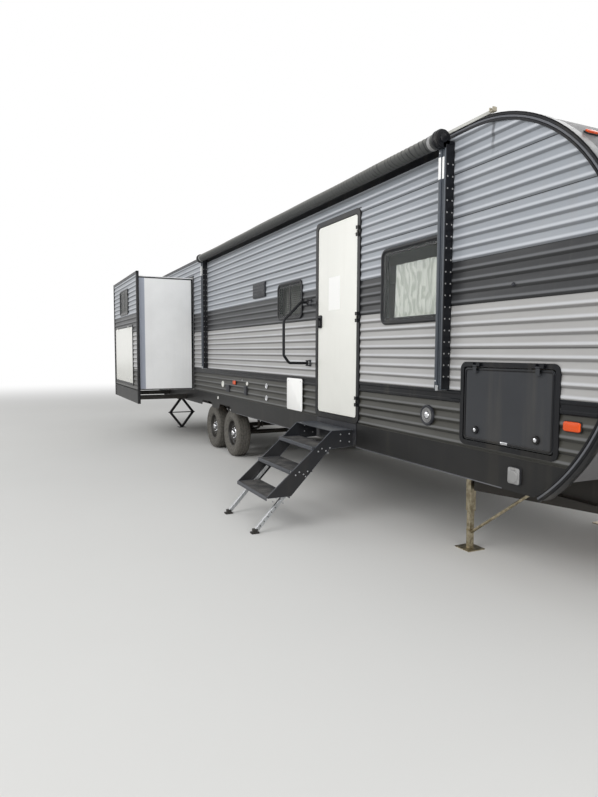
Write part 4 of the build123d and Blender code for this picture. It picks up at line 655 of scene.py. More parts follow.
def nose_at(height, inset):
    """How far forward the nose reaches at a height: the two arcs and the straight run between them."""
    above, below = height - upper_centre[1], lower_centre[1] - height
    if above > 0:
        return upper_centre[0] + math.sqrt((upper_arc - inset) ** 2 - min(above, upper_arc - inset) ** 2)
    if below > 0:
        return lower_centre[0] + math.sqrt((lower_arc - inset) ** 2 - min(below, lower_arc - inset) ** 2)
    return nose_x - inset


def widened(place, margin):
    """The x range of a place with a margin at both ends."""
    return place[0] - margin, place[1] + margin


# %% [markdown]
# The skin is rolled aluminium: panels 295 mm high with four ribs each. A rib swells out quickly at its
# foot and leans back to the next, so daylight catches its face and a thin shadow lies under it. The
# section is a formula of height, and each thin strip of it is carried along the wall between openings.

# %% The ribbed skin
rib_depth = 0.0085
rib_share = np.array([0, 0.05, 0.11, 0.17, 0.23, 0.30, 0.40, 0.50, 0.62, 0.75, 0.88])
under_ring = 0.024
under_hatch_ring = 0.020


def rib_levels(low, high, heights):
    """Ribs counted from the belt: out as a quarter sine in the first 0.3 of a rib, then back as a cosine.

    The heights of the openings' edges are levels of their own, so that no strip crosses one.
    """
    rise = np.sin(np.pi / 2 * np.clip(rib_share / 0.30, 0, 1))
    fall = 0.5 + 0.5 * np.cos(np.pi * np.clip((rib_share - 0.30) / 0.70, 0, 1))
    first = math.floor((low - belt_line) / rib_pitch)
    count = math.ceil((high - belt_line) / rib_pitch) - first
    levels = (belt_line + (first + np.arange(count)[:, None] + rib_share) * rib_pitch).ravel()
    depths = np.tile(rib_depth * rise * fall, count)
    inside = (levels > low) & (levels < high)
    at_ends = np.interp([low, high], levels, depths, right=0.0)
    levels = np.concatenate([[low], levels[inside], [high]])
    depths = np.concatenate([at_ends[:1], depths[inside], at_ends[1:]])
    every = np.unique(np.concatenate([levels, [height for height in heights if low < height < high]]))
    return every, np.interp(every, levels, depths)


def strips(levels, depths, start, stop, openings):
    """For each pair of levels, the wall's runs between its openings: x three times, z and depth twice."""
    for low, high, near, far in zip(levels[:-1], levels[1:], depths[:-1], depths[1:]):
        begin = start
        for x0, x1 in sorted(place[:2] for place in openings if place[2] < (low + high) / 2 < place[3]):
            yield begin, x0, x0, low, high, near, far
            begin = x1
        yield begin, stop(low), stop(high), low, high, near, far


def skin(start, stop, top, openings, back_y, side):
    """The band under the belt and the band over it, on a wall that faces along y and ends at stop(height)."""
    heights = [height for place in openings for height in place[2:]]
    for band in ((skirt_high, belt_line), (belt_line, top)):
        runs = np.array(list(strips(*rib_levels(*band, heights), start, stop, openings)))
        begin, stop_low, stop_high, low, high, near, far = runs.T
        y_near, y_far = side * (back_y + near), side * (back_y + far)
        corners = [
            points_at(begin, y_near, low), points_at(stop_low, y_near, low),
            points_at(stop_high, y_far, high), points_at(begin, y_far, high),
        ]
        yield np.stack(corners, 1), np.arange(len(runs) * 4).reshape(-1, 4).tolist()


body_skin = Shape()
for side in sides:
    openings = [shrunk(place, under_ring) for place in windows[side] + [baggage_hatch]]
    if side == door_side:
        openings.append((*widened(entry_place, -0.012), entry_place[2], entry_place[3] - 0.030))
    openings.append((*widened(room_beside[side]["x"], opening_gap), 0.5, room_top + opening_gap))
    start, top = rear_x + trim_width, roof_edge - trim_width
    for surface in skin(start, lambda z: nose_at(z, trim_width), top, openings, wall_y + 0.001, side):
        body_skin.add(surface)
rear_half = wall_y - 0.05
for surface in skin(-rear_half, lambda z: rear_half, roof_edge - trim_width, [], 0.0, 1):
    body_skin.add(placed(surface, (rear_x - 0.001, 0, 0), (0, 1, 0), (-1, 0, 0), (0, 0, 1)))
body_skin.build("body_siding", "caravan", siding_enamel, replaces=["siding"], slot="siding_grey", angle=28)

for name, room in rooms.items():
    openings = [shrunk(place, under_ring) for place in room["windows"]]
    if room["side"] == door_side:
        openings.append(shrunk(kitchen_hatch, under_hatch_ring))
    room_skin = Shape()
    x0, x1 = widened(room["x"], room_flange - trim_width)
    top, back = room_face_top - trim_width, room["face"] - 0.007
    for surface in skin(x0, lambda z: x1, top, openings, back, room["side"]):
        room_skin.add(surface)
    room_skin.build(name + "_room_siding", "slide_" + name, siding_enamel,
                    replaces=["slide_" + name + "_siding"], slot="siding_grey", angle=28)

# %% [markdown]
# A screw track with a soft insert covers every edge of the skin. Its section is two raised lips with
# the paler insert between them, and it follows the roof line, bends round the nose and ends at the
# skirt. The belt is a broad moulding of the same kind between the upper and the lower skin.

# %% Edge and belt mouldings
track_depth = 0.014
fold_y = 1.190
corner_y = 1.194
corner_foot = 0.800
corner_width, corner_depth = 0.064, 0.010
room_margin, door_margin, heater_margin = 0.063, 0.004, 0.016
seal_width = 0.042
seal_face = 1.2235
belt_low = belt_line - 0.071
belt_high = belt_line + 0.010
belt_section = [
    (belt_low, 0), (belt_low, 0.010), (belt_low + 0.006, 0.016), (belt_low + 0.020, 0.016),
    (belt_low + 0.026, 0.011), (belt_high - 0.026, 0.011), (belt_high - 0.020, 0.016),
    (belt_high - 0.006, 0.016), (belt_high, 0.010), (belt_high, 0),
]
fold_section = [(-0.040, 0), (-0.040, 0.0015), (-0.037, 0.003), (0.034, 0.003), (0.036, 0.0015), (0.036, 0)]


def arc(centre, radius, turns):
    """Points (x, z) of an arc, and the directions that lead out of it."""
    out = np.stack([np.cos(turns), np.sin(turns)], -1)
    return np.asarray(centre) + radius * out, out


def body_edge(inset, y):
    """The body's edge at that y from the rear roof corner to the nose's foot, and its outward directions."""
    foot = math.asin((lower_centre[1] - skirt_low) / (lower_arc - inset))
    over, over_out = arc(upper_centre, upper_arc - inset, np.linspace(np.pi / 2, 0, 28))
    under, under_out = arc(lower_centre, lower_arc - inset, np.linspace(0, -foot, 26))
    line = np.concatenate([[(rear_x, roof_edge - inset)], over, under])
    out = np.concatenate([[(0.0, 1.0)], over_out, under_out])
    return points_at(line[:, 0], y, line[:, 1]), points_at(out[:, 0], 0.0, out[:, 1])


def mirrored(half):
    """A section from its first half: the second half is the same with the other sign."""
    return half + [(-across, out) for across, out in reversed(half)]


def add_track(shape, width, depth, path, across, above):
    """Two lips with a lower floor between them, and in it the soft insert as a strip of its own."""
    half, lip = width / 2, 0.30 * width
    lips = [
        (-half, 0), (-half, 0.6 * depth), (-half + 0.002, depth), (-lip + 0.004, depth),
        (-lip + 0.006, 0.55 * depth), (-0.3 * lip, 0.75 * depth),
    ]
    insert = [(-lip + 0.005, 0.5 * depth), (-0.4 * lip, 0.85 * depth)]
    shape.add(swept(mirrored(lips), path, across, above))
    shape.add(swept(mirrored(insert), path, across, above), 1)


def belt_runs(side):
    """The belt's runs along x: it stops at the room, the storage hatch, and the entry or the heater."""
    gaps = [widened(room_beside[side]["x"], room_margin), widened(baggage_hatch, door_margin)]
    if side == door_side:
        gaps.append(widened(entry_place, door_margin))
    else:
        gaps.append(widened(heater_place, heater_margin))
    start = rear_x + trim_width
    for begin, end in sorted(gaps):
        yield start, begin
        start = end
    yield start, nose_at(belt_low, trim_width)


edges = Shape()
for side in sides:
    path, out = body_edge(trim_width / 2, side * wall_y)
    add_track(edges, trim_width, track_depth, path, out, (0, side, 0))
    for begin, end in belt_runs(side):
        path = [(begin, side * wall_y, 0), (end, side * wall_y, 0)]
        edges.add(swept(belt_section, path, (0, 0, 1), (0, side, 0)))
    path, out = body_edge(-0.001, side * fold_y)
    edges.add(swept(fold_section, path, (0, side, 0), out))
    x = rear_x + trim_width / 2
    path = [(x, side * wall_y, skirt_low), (x, side * wall_y, roof_edge - trim_width)]
    add_track(edges, trim_width, track_depth, path, (1, 0, 0), (0, side, 0))
    path = [(rear_x, side * corner_y, corner_foot), (rear_x, side * corner_y, roof_edge)]
    add_track(edges, corner_width, corner_depth, path, (0, 1, 0), (-1, 0, 0))
edges.add(span((rear_x - 0.009, -1.162, roof_edge - trim_width), (rear_x, 1.162, roof_edge)))
for room in rooms.values():
    # The wiper seal round the opening stands 3 mm over the ribs, under the closed room's flange
    x0, x1 = room["x"]
    near, far = room["side"] * wall_y, room["side"] * seal_face
    for low, high, foot in (
        (x0 - seal_width, x0 - opening_gap, skirt_high), (x1 + opening_gap, x1 + seal_width, skirt_high),
        (x0 - seal_width, x1 + seal_width, room_top + opening_gap),
    ):
        edges.add(span((low, near, foot), (high, far, room_top + seal_width)))
edges.build("edge_mouldings", "caravan", black_trim, insert_paint,
            replaces=["body_trim"], slot="trim_black", angle=30)

# %% [markdown]
# A window is a clamp ring outside, a sash, tinted glass and something behind it. The ring is a grid of
# outlines: each row is the same rounded rectangle drawn in a little more and set at its own depth, so
# the lip, the crown and the inner step all come from one short table.

# %% Window rings and sashes
window_corner = 0.070
sash_corner = 0.034
ring_width = 0.036
ring_rows = [
    (0.000, 0.000), (0.000, 0.008), (0.004, 0.013), (0.014, 0.015), (0.024, 0.013), (0.030, 0.007),
    (0.036, 0.006),
]
hatch_rows = [
    (0.0, 0.0), (0.0, 0.006), (0.004, 0.010), (0.026, 0.010), (0.032, 0.004), (0.032, -0.028),
    (0.018, -0.028), (0.018, -0.004),
]
sash_rows = [(0.0, -0.006), (0.0, 0.003), (0.018, 0.003), (0.018, -0.006)]


def ring(place, radius, rows, face, side):
    """A frame whose rows are measured from a wall with its face at that depth."""
    return framed(place, radius, [(inset, face + depth) for inset, depth in rows], side)


def add_window(shape, place, face, side, split, deep):
    """A clamp ring that deep, the slider's own thin frame, and an upright where the two panes meet."""
    inner = shrunk(place, ring_width)
    bar = place[0] + split * (place[1] - place[0])
    low = (bar - 0.016, side * (face - 0.008), inner[2] + 0.010)
    high = (bar + 0.016, side * (face + 0.004), inner[3] - 0.010)
    rows = ring_rows + [(ring_width, -deep), (0.020, -deep), (0.020, -0.004)]
    shape.add(ring(place, window_corner, rows, face, side))
    shape.add(ring(inner, sash_corner, sash_rows, face, side))
    shape.add(span(low, high))


body_rings = Shape()
for side, places in windows.items():
    for place in places:
        add_window(body_rings, place, face_y, side, 0.5 if place[1] - place[0] < 0.7 else 0.06, 0.052)
body_rings.build("window_rings", "caravan", black_trim, replaces=["window_frames"], slot="trim_black")

# %% [markdown]
# A room's face has the same rings, a track round its rim and a skirt across its foot. Its box has edges
# of its own: a black channel over the face's rim, a blue-grey strip of painted shade beside it, and dark
# angles along the top and the foot of both side walls. They stand 3 mm proud of the wall, less than half
# of the gap that the room slides through.

# %% Rims and edges of the rooms
proud = 0.003
box_y = 1.226
box_foot = 0.915
box_head = room_top - 0.032
for name, room in rooms.items():
    rings = Shape()
    face, side = room["face"], room["side"]
    for place in room["windows"]:
        add_window(rings, place, face, side, 0.5, 0.028)
    x0, x1 = widened(room["x"], room_flange)
    back = face - 0.008
    rim = face - 0.030
    corners = np.array([(x0, skirt_low), (x0, room_face_top), (x1, room_face_top), (x1, skirt_low)])
    for begin, end in zip(corners[:-1], corners[1:]):
        along = (end - begin) / np.linalg.norm(end - begin)
        inward = np.array([along[1], -along[0]])
        line = np.array((begin, end)) + inward * trim_width / 2
        path = points_at(line[:, 0], side * back, line[:, 1])
        add_track(rings, trim_width, 0.018, path, (inward[0], 0, inward[1]), (0, side, 0))
    for low, high, thick in ((skirt_low, skirt_high, 0.012), (skirt_high - 0.012, skirt_high + 0.004, 0.020)):
        rings.add(span((x0 + 0.02, side * back, low), (x1 - 0.02, side * (back + thick), high)))
    if side == door_side:
        rings.add(ring(kitchen_hatch, 0.050, hatch_rows, face, side))
    rings.build(name + "_room_trim", "slide_" + name, black_trim, insert_paint,
                replaces=["slide_" + name + "_trim"], slot="trim_black")
    edging = Shape()
    for wall, outward in zip(room["x"], (-1, 1)):
        end = wall + outward * room_flange
        low = (end - outward * 0.012, side * (rim - 0.002), skirt_low)
        edging.add(span(low, (end + outward * proud, side * back, room_face_top)))
        # The first row, finish 1, is the blue-grey strip of painted shade beside the face's rim
        for y0, y1, z0, z1, finish in (
            (rim - 0.095, rim, box_foot, box_head, 1), (box_y, rim, box_head, box_head + 0.020, 0),
            (box_y, rim, box_foot - 0.016, box_foot, 0), (box_y, box_y + 0.032, box_foot, box_head, 0),
        ):
            edging.add(span((wall, side * y0, z0), (wall + outward * proud, side * y1, z1)), finish)
    edging.build(name + "_room_edging", "slide_" + name, black_trim, reveal_painted_shade)

# %% [markdown]
# The bedroom window has a lace-like curtain, and the others mini-blinds with one slat every 22 mm. The
# curtain is a real sheet: gathered cloth whose folds are a sum of two sines across its width, a little
# deeper at the hem than at the rod.

# %% Curtain and blinds
curtain_place = (2.700, 3.430, 1.755, 2.235)
curtain_y = 1.128
blind_y = 1.135
slat_pitch = 0.022


def curtain(name, place, plane_y, side):
    """Point (u, v): x runs across, z down, and y waves as two sines of x whose depth grows to the hem."""
    x0, x1, z0, z1 = place
    u, v = np.meshgrid(np.linspace(0, 1, 220), np.linspace(0, 1, 30), indexing="ij")
    folds, sway = np.sin(2 * np.pi * 13 * u + 0.8 * v), np.sin(2 * np.pi * 5 * u + 2.0)
    depth = (0.010 + 0.008 * v) * folds + 0.005 * sway
    points = points_at(x0 + u * (x1 - x0), side * (plane_y + depth), z1 - v * (z1 - z0))
    piece = Shape().add((points, grid_faces(*u.shape))).build(name, "caravan", voile)
    wall = "wall_door_side" if side < 0 else "wall_off_side"


def add_blind(shape, window, plane_y, side):
    """A head rail and slats, each a shallow curved strip tilted to shed light, with two ladder tapes."""
    x0, x1, z0, z1 = window[0] + 0.010, window[1] - 0.010, window[2], window[3] - 0.005
    lean = np.linspace(-1, 1, 5)
    upper = np.stack([0.011 * lean, 0.0015 * (1 - lean ** 2) - 0.006 * lean], -1)
    section = np.concatenate([upper, upper[::-1] - (0, 0.0007)])
    for level in np.arange(z0 + 0.02, z1 - 0.03, slat_pitch):
        path = [(x0, side * plane_y, level), (x1, side * plane_y, level)]
        shape.add(swept(section, path, (0, side, 0), (0, 0, 1)))
    shape.add(span((x0, side * (plane_y - 0.014), z1 - 0.03), (x1, side * (plane_y + 0.014), z1)))
    tapes = x0 + np.array((0.15, 0.85)) * (x1 - x0)
    middle = points_at(tapes, side * (plane_y + 0.0125), (z0 + z1) / 2)
    shape.add(blocks(middle, (0.003, 0.0008, z1 - z0)))


body_blinds = Shape()
for side, label in sides.items():
    curtain("bedroom_curtain_" + label + "_side", curtain_place, curtain_y, side)
    add_blind(body_blinds, windows[side][1], blind_y, side)
body_blinds.build("window_blinds", "caravan", slat_white)
for name, room in rooms.items():
    blinds = Shape()
    for place in room["windows"]:
        add_blind(blinds, place, room["face"] - 0.055, room["side"])
    blinds.build(name + "_room_blinds", "slide_" + name, slat_white)

# %% [markdown]
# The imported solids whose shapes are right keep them, and take a finish. One table says which.

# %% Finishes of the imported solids
finishes = {
    black_paint: ["chassis", "outriggers", "axles", "leaf_springs", "coupler", "gas_rack", "slide_rear_rails",
                  "slide_living_rails", "step_frame", "tongue_jack", "battery_box"],
    underside: ["underbelly"],
    vinyl_floor: ["floor"],
    room_board: ["wall_door_side", "wall_off_side", "wall_rear"],
    grey_gel: ["front_cap"],
    roof_sheet: ["roof"],
    skirt_paint: ["skirts"],
    black_trim: ["door_frames", "grab_handle", "entry_handle"],
    window_glass: ["window_panes", "slide_rear_panes", "slide_living_panes"],
    white_gel: ["entry_door", "kitchen_door"],
    white_board: ["slide_rear_box", "slide_living_box", "slide_rear_face", "slide_living_face"],
    hatch_paint: ["baggage_door_door", "baggage_door_off"],
    zinc: ["jack_leg"],
    stabilizer_metal: ["stabilizers"],
    gas_enamel: ["gas_cylinders"],
    unit_plastic: ["roof_units", "roof_vents"],
    ladder_alloy: ["ladder"],
    dark_plastic: ["wall_fittings"],
    black_plastic: ["step_treads"],
    tyre_rubber: ["tyre_front_door", "tyre_front_off", "tyre_rear_door", "tyre_rear_off"],
    rim_paint: ["wheel_front_door", "wheel_front_off", "wheel_rear_door", "wheel_rear_off"],
}
for material, names in finishes.items():
    for name in names:
        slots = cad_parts[name].data.materials
        slots.clear()
        slots.append(material)
print("finished solids:", sum(len(names) for names in finishes.values()))

# %% [markdown]
# The wheels are pressed steel with eight vents, six nuts and a chrome cap. The tyre is one profile
# turned round the axle: from bead to bead through the wall, the shoulder and the tread, whose grooves
# are steps in the profile. Notches in the shoulders depend on the turn, so the radius is a function of
# both parameters.

# %% Tyres and wheels
axle_places = {"front": -1.506, "rear": -2.395}
tyre_middle = 1.0275
hub_height = 0.340
vents = 8
nut_turns = np.linspace(0, 2 * np.pi, 6, endpoint=False) + 0.3
stem_turn = 1.1
nut_circle, stem_circle = 0.076, 0.158
tyre_section = np.array(mirrored([
    (0.070, 0.1925), (0.083, 0.205), (0.094, 0.226), (0.0985, 0.240), (0.0995, 0.243), (0.0985, 0.246),
    (0.1015, 0.262), (0.1022, 0.280), (0.1005, 0.296), (0.1015, 0.299), (0.0995, 0.302), (0.0955, 0.314),
    (0.090, 0.3235), (0.081, 0.3315), (0.071, 0.336), (0.061, 0.3380), (0.060, 0.3310), (0.053, 0.3310),
    (0.052, 0.3388), (0.024, 0.3398), (0.023, 0.3320), (0.016, 0.3320), (0.015, 0.3400),
]))
pressed_profile = np.array([
    (0.040, 0.030), (0.052, 0.031), (0.088, 0.030), (0.096, 0.036), (0.106, 0.043), (0.120, 0.043),
    (0.134, 0.038), (0.148, 0.027), (0.158, 0.022), (0.168, 0.030), (0.175, 0.044), (0.177, 0.062),
    (0.182, 0.070), (0.190, 0.073), (0.1915, 0.070),
])
barrel = [
    (0.190, 0.072), (0.1915, 0.066), (0.189, 0.030), (0.172, 0.005), (0.172, -0.050), (0.188, -0.060),
    (0.1915, -0.074), (0.180, -0.074), (0.168, -0.055), (0.168, 0.0), (0.150, 0.010), (0.06, 0.012),
    (0.02, 0.012),
]
drum = [(0.0, 0.010), (0.125, 0.010), (0.128, 0.004), (0.128, -0.055), (0.118, -0.058), (0.0, -0.058)]
cap = [
    (0.060, 0.028), (0.062, 0.034), (0.055, 0.038), (0.047, 0.040), (0.045, 0.062), (0.040, 0.074),
    (0.028, 0.081), (0.0, 0.0825),
]


def tyre_surface(centre, side, around=132):
    """Point (i, j) is at turn i and section point j; each third turn has 5 mm notches at its shoulders."""
    angle = np.linspace(0, 2 * np.pi, around, endpoint=False)[:, None]
    across, radius = tyre_section.T
    shoulder = np.clip((np.abs(across) - 0.0605) / 0.004, 0, 1) * np.clip((radius - 0.312) / 0.01, 0, 1)
    reach = radius - (np.arange(around) % 3 == 0)[:, None] * 0.005 * shoulder
    x, z = centre[0] + reach * np.cos(angle), centre[2] + reach * np.sin(angle)
    return points_at(x, centre[1] + side * across, z), grid_faces(around, len(tyre_section), True, True)


def wheel_face(centre, side, around=144):
    """Depth = the pressed profile of the radius, less a pocket at each of the eight vents."""
    radius = np.linspace(0.040, 0.192, 46)
    angle = np.linspace(0, 2 * np.pi, around, endpoint=False)[:, None]
    along = ((angle * vents / (2 * np.pi)) % 1.0 - 0.5) * 2 * np.pi / vents * radius
    reach = np.sqrt((along / 0.019) ** 2 + ((radius - 0.132) / 0.0125) ** 2)
    pocket = np.clip((1.25 - reach) / 0.3, 0, 1) * 0.034
    depth = np.interp(radius, *pressed_profile.T) - pocket
    x, z = centre[0] + radius * np.cos(angle), centre[2] + radius * np.sin(angle)
    return points_at(x, centre[1] + side * depth, z), grid_faces(around, len(radius), True, False)


for place, x in axle_places.items():
    for side, label in sides.items():
        centre, axis = np.array((x, side * tyre_middle, hub_height)), np.array((0.0, side, 0.0))
        corner = place + "_" + label
        body = "wheel_" + corner
        rubber = Shape().add(tyre_surface(centre, side))
        rubber.build("road_tyre_" + corner, body, tyre_rubber,
                     replaces=["tyre_" + corner], slot="tyre_rubber", angle=32)
        wheel = Shape().add(wheel_face(centre, side))
        for profile, around, finish in ((barrel, 96, 0), (drum, 64, 2), (cap, 48, 1)):
            wheel.add(turned(profile, centre, axis, around), finish)
        seat = centre + axis * 0.030
        nuts = seat + nut_circle * points_at(np.cos(nut_turns), 0.0, np.sin(nut_turns))
        wheel.add(heads(nuts, axis, 0.0105, 0.024, 6), 1)
        stem = seat + stem_circle * points_at(math.cos(stem_turn), 0.0, math.sin(stem_turn))
        wheel.add(rod(stem, stem + axis * 0.034, 0.0045, 10))
        wheel.build("pressed_" + body, body, rim_paint, chrome, zinc,
                    replaces=[body], slot="rim_steel", angle=35)

# %% [markdown]
# The entry steps hang from the sill on two deep side plates. Each plate is a flat outline with its
# edges folded inwards, and its rim is painted paler. The treads sit between them on clusters of
# bolts, and two square alloy legs slide out of the plates to the ground.

# %% Entry steps
step_x = (1.482, 2.218)
plate_metal = 0.004
rim_width = 0.012
rim_metal = 0.0035
landing_low, landing_top = 0.829, 0.8355
landing_front, ear_front, landing_back = 0.235, 0.062, 0.024
pivot_place = (0.034, 0.815)
ear_place = 0.060
ear_notch = 0.011
step_side = np.array([
    (0.022, 0.835), (0.235, 0.835), (0.850, 0.302), (0.848, 0.293), (0.632, 0.293), (0.262, 0.676),
    (0.022, 0.690),
])
leg_top, leg_foot = (0.560, 0.430), (0.948, 0.020)
leg_inset = 0.0245
foot_blocks = np.array([
    [(-0.026, -0.042, 0.0), (0.026, 0.026, 0.014)], [(-0.019, -0.026, 0.014), (0.019, 0.014, 0.040)],
])
leg_section = [(-0.0125, -0.016), (0.0125, -0.016), (0.0125, 0.016), (-0.0125, 0.016)]
treads = [(0.430, 0.703), (0.648, 0.512), (0.862, 0.303)]
tread_depth = 0.222
grit_pitch = 0.030
tread_nose = [
    (0, 0), (0.008, 0), (0.013, -0.005), (0.013, -0.030), (0.010, -0.033), (0.006, -0.030),
    (0.006, -0.008), (0, -0.006),
]
tread_bolts = ((-0.175, 0.018), (-0.135, 0.040), (-0.095, 0.018), (-0.060, 0.042), (-0.155, 0.062))
top_bolts = [(0.060, 0.800), (0.060, 0.730), (0.150, 0.800), (0.150, 0.742)]
inside = (step_x[0] + plate_metal, step_x[1] - plate_metal)
ears = (step_x[0] + ear_place, step_x[1] - ear_place)


def outside(x, out, z):
    """A place on the door side: along the wall, how far out from it, and how high."""
    return points_at(x, -(face_y + np.asarray(out)), z)


plates = Shape()
outline = np.stack([-(face_y + step_side[:, 0]), step_side[:, 1]], -1)
for x, inward in zip(step_x, (1, -1)):
    plates.add(swept(outline, [(x, 0, 0), (x + inward * plate_metal, 0, 0)], (0, 1, 0), (0, 0, 1)))
    rim = [(0, 0), (inward * rim_width, 0), (inward * rim_width, rim_metal), (0, rim_metal)]
    corners = outside(x, *step_side.T)
    for start, stop in zip(corners, np.roll(corners, -1, 0)):
        down = np.cross((stop - start) / np.linalg.norm(stop - start), (1.0, 0.0, 0.0))
        plates.add(swept(rim, [start, stop], (1, 0, 0), down), 1)
    leg_x = x + inward * leg_inset
    top, foot = outside(leg_x, *leg_top), outside(leg_x, *leg_foot)
    lift = np.cross((1.0, 0.0, 0.0), (foot - top) / np.linalg.norm(foot - top))
    plates.add(swept(leg_section, [top, foot], (1, 0, 0), lift), 2)
    holes = top + np.linspace(0.55, 0.9, 5)[:, None] * (foot - top) - (inward * 0.0126, 0, 0)
    plates.add(heads(holes, (-inward, 0, 0), 0.006, 0.0005, 12, 1), 3)
    for low, high in foot_blocks:
        plates.add(span((leg_x, foot[1], 0) + low, (leg_x, foot[1], 0) + high), 3)
plates.add(rod(outside(step_x[0], *pivot_place), outside(step_x[1], *pivot_place), 0.008, 16), 2)
low, high = outside(inside[0], landing_front, landing_low), outside(inside[1], ear_front, landing_top)
plates.add(span(low, high), 1)
# Behind the landing three tongues reach back between the bracket's ears
stops = (inside[0], *(ear + way * ear_notch for ear in ears for way in (-1, 1)), inside[1])
for begin, end in zip(stops[::2], stops[1::2]):
    plates.add(span(outside(begin, ear_front, landing_low), outside(end, landing_back, landing_top)), 1)
bolts = [(front + shift, top - drop) for front, top in treads for shift, drop in tread_bolts] + top_bolts
for x, outward in zip(step_x, (-1, 1)):
    for seat_x, way in ((x, outward), (x - outward * plate_metal, -outward)):
        plates.add(heads(outside(seat_x, *np.array(bolts).T), (way, 0, 0), 0.0072, 0.0055), 2)
plates.build("step_plates", "steps", step_metal, step_edge, alloy, black_plastic,
             replaces=["step_frame"], slot="black_steel", angle=30, bevel=0.0012)

boards = Shape()
x0, x1 = inside
for front, top in treads:
    y_front, y_back = -(face_y + front), -(face_y + front - tread_depth)
    path = [(x0, y_front + 0.013, top), (x1, y_front + 0.013, top)]
    boards.add(swept(tread_nose, path, (0, -1, 0), (0, 0, 1)), 1)
    boards.add(span((x0, y_front + 0.012, top - 0.005), (x1, y_back, top)), 1)
    boards.add(span((x0, y_back - 0.004, top - 0.030), (x1, y_back, top)), 1)
    boards.add(span((x0 + 0.030, y_front + 0.014, top), (x1 - 0.030, y_back - 0.014, top + 0.0015)))
    deep = np.arange(y_front + 0.035, y_back - 0.03, grit_pitch)
    grid_x, grid_y = np.meshgrid(np.arange(x0 + 0.055, x1 - 0.05, grit_pitch), deep)
    grid_x = grid_x + grit_pitch / 2 * (np.arange(len(deep))[:, None] % 2)
    seats = points_at(grid_x, grid_y, top + 0.0012).reshape(-1, 3)
    boards.add(heads(seats, (0, 0, 1), 0.006, 0.0022, 8, 2))
boards.build("step_tread_boards", "steps", grip, step_edge,
             replaces=["step_treads"], slot="black_steel", angle=30)

# %% [markdown]
# Every lamp is a black base with a moulded lens. The markers and the two lamps on the rounded front are
# amber, the tail lamps and the high bar at the rear are red. A lens is a rounded outline drawn in twice,
# and one function puts it on any plane by three directions: across, out and up.

# %% Lamps
marker_lamp = ((0.120, 0.062), 0.018, 1)
tail_lamp = ((0.210, 0.110), 0.026, 2)
nose_lamp = ((0.104, 0.034), 0.020, 1)
high_lamp = ((0.110, 0.030), 0.020, 2)
rear_lamp_x = rear_x - 0.008
middle_markers = {door_side: -1.040, off_side: -2.500}
nose_lean = math.radians(49)
lamps = Shape()


def lamp(size, stand, finish, origin, across, out, up):
    """A base and a crowned lens of that width and height, standing out from its origin."""
    half_width, half_height = size[0] / 2, size[1] / 2
    place = (-half_width, half_width, -half_height, half_height)
    radius = min(0.014, half_height * 0.8)
    base = [(0, 0), (0, 0.35 * stand), (0.002, 0.45 * stand)]
    lens = [(0, 0.40 * stand), (0, 0.72 * stand), (0.003, 0.92 * stand), (0.008, stand)]
    lamps.add(placed(raised(place, radius, base, 1), origin, across, out, up))
    lamps.add(placed(raised(shrunk(place, 0.004), radius, lens, 1), origin, across, out, up), finish)


for side in sides:
    for x, z in ((4.540, 1.126), (middle_markers[side], 1.104)):
        lamp(*marker_lamp, (x, side * face_y, z), (1, 0, 0), (0, side, 0), (0, 0, 1))
    lamp(*tail_lamp, (rear_lamp_x, side * 0.950, 1.010), (0, 1, 0), (-1, 0, 0), (0, 0, 1))
    out = np.array((math.cos(nose_lean), 0, math.sin(nose_lean)))
    seat = np.array((upper_centre[0], side * 1.050, upper_centre[1])) + out * upper_arc
    lamp(*nose_lamp, seat, (0, 1, 0), out, (-out[2], 0, out[0]))
for y in (-0.300, 0.0, 0.300):
    lamp(*high_lamp, (rear_lamp_x, y, 2.920), (0, 1, 0), (-1, 0, 0), (0, 0, 1))
lamps.build("road_lamps", "caravan", black_plastic, amber_lens, red_lens,
            replaces=["lamps"], slot="lamp_lens", angle=30)

# %% [markdown]
# The awning is stored: its cover is wound on a roller between two arms. Wound vinyl is never quite
# round, so the radius has two slow swells along the roller and short creases that fade from its ends.
# Each arm is two channels side by side, with two rows of small dots down its cheek, one every 80 mm.

# %% The awning
arm_places = (3.467, -2.350)
arm_foot, arm_top = 1.270, 2.935
arm_half = 0.031
dot_rows = (0.014, 0.056)
dot_levels = np.arange(1.360, 2.880, 0.080)
label_low, label_high = 2.705, 2.850
roller_place = (-1.315, 2.965)
roller_radius = 0.050
crease_pitch = 0.047


def cover_paint():
    """Weathered vinyl: dark, paler towards its top, and darkened by painted shade in short creases across the
    roll.
    """
    paint = Paint("cover_vinyl", specular_ior_level=0.25)
    top = paint.axis("Z").ramp(roller_place[1] - 0.01, roller_place[1] + 0.045)
    creases = paint.noise(34.0, 3.0, (1.0, 0.25, 0.25))
    slant = paint.axis("X") + paint.axis("Z") * 0.5
    folds = (slant * (math.tau / crease_pitch) + paint.noise(4.0, 3.0) * 14.0).maths("SINE").ramp(0.35, 0.95)
    front_end = paint.axis("X").ramp(1.8, 3.3, 0.2, 1.0)
    tone = paint.blend(top, seen(74, 75, 74), seen(132, 132, 127))
    paint.bump(creases, 0.6, 0.004)
    # Painted shade in the creases, strongest towards the front end
    crease_shade = folds * creases.ramp(0.35, 0.6, 0.2, 0.85) * front_end
    return paint.coat(paint.blend(crease_shade, tone, seen(40, 41, 42)), creases * 0.2 + 0.55)


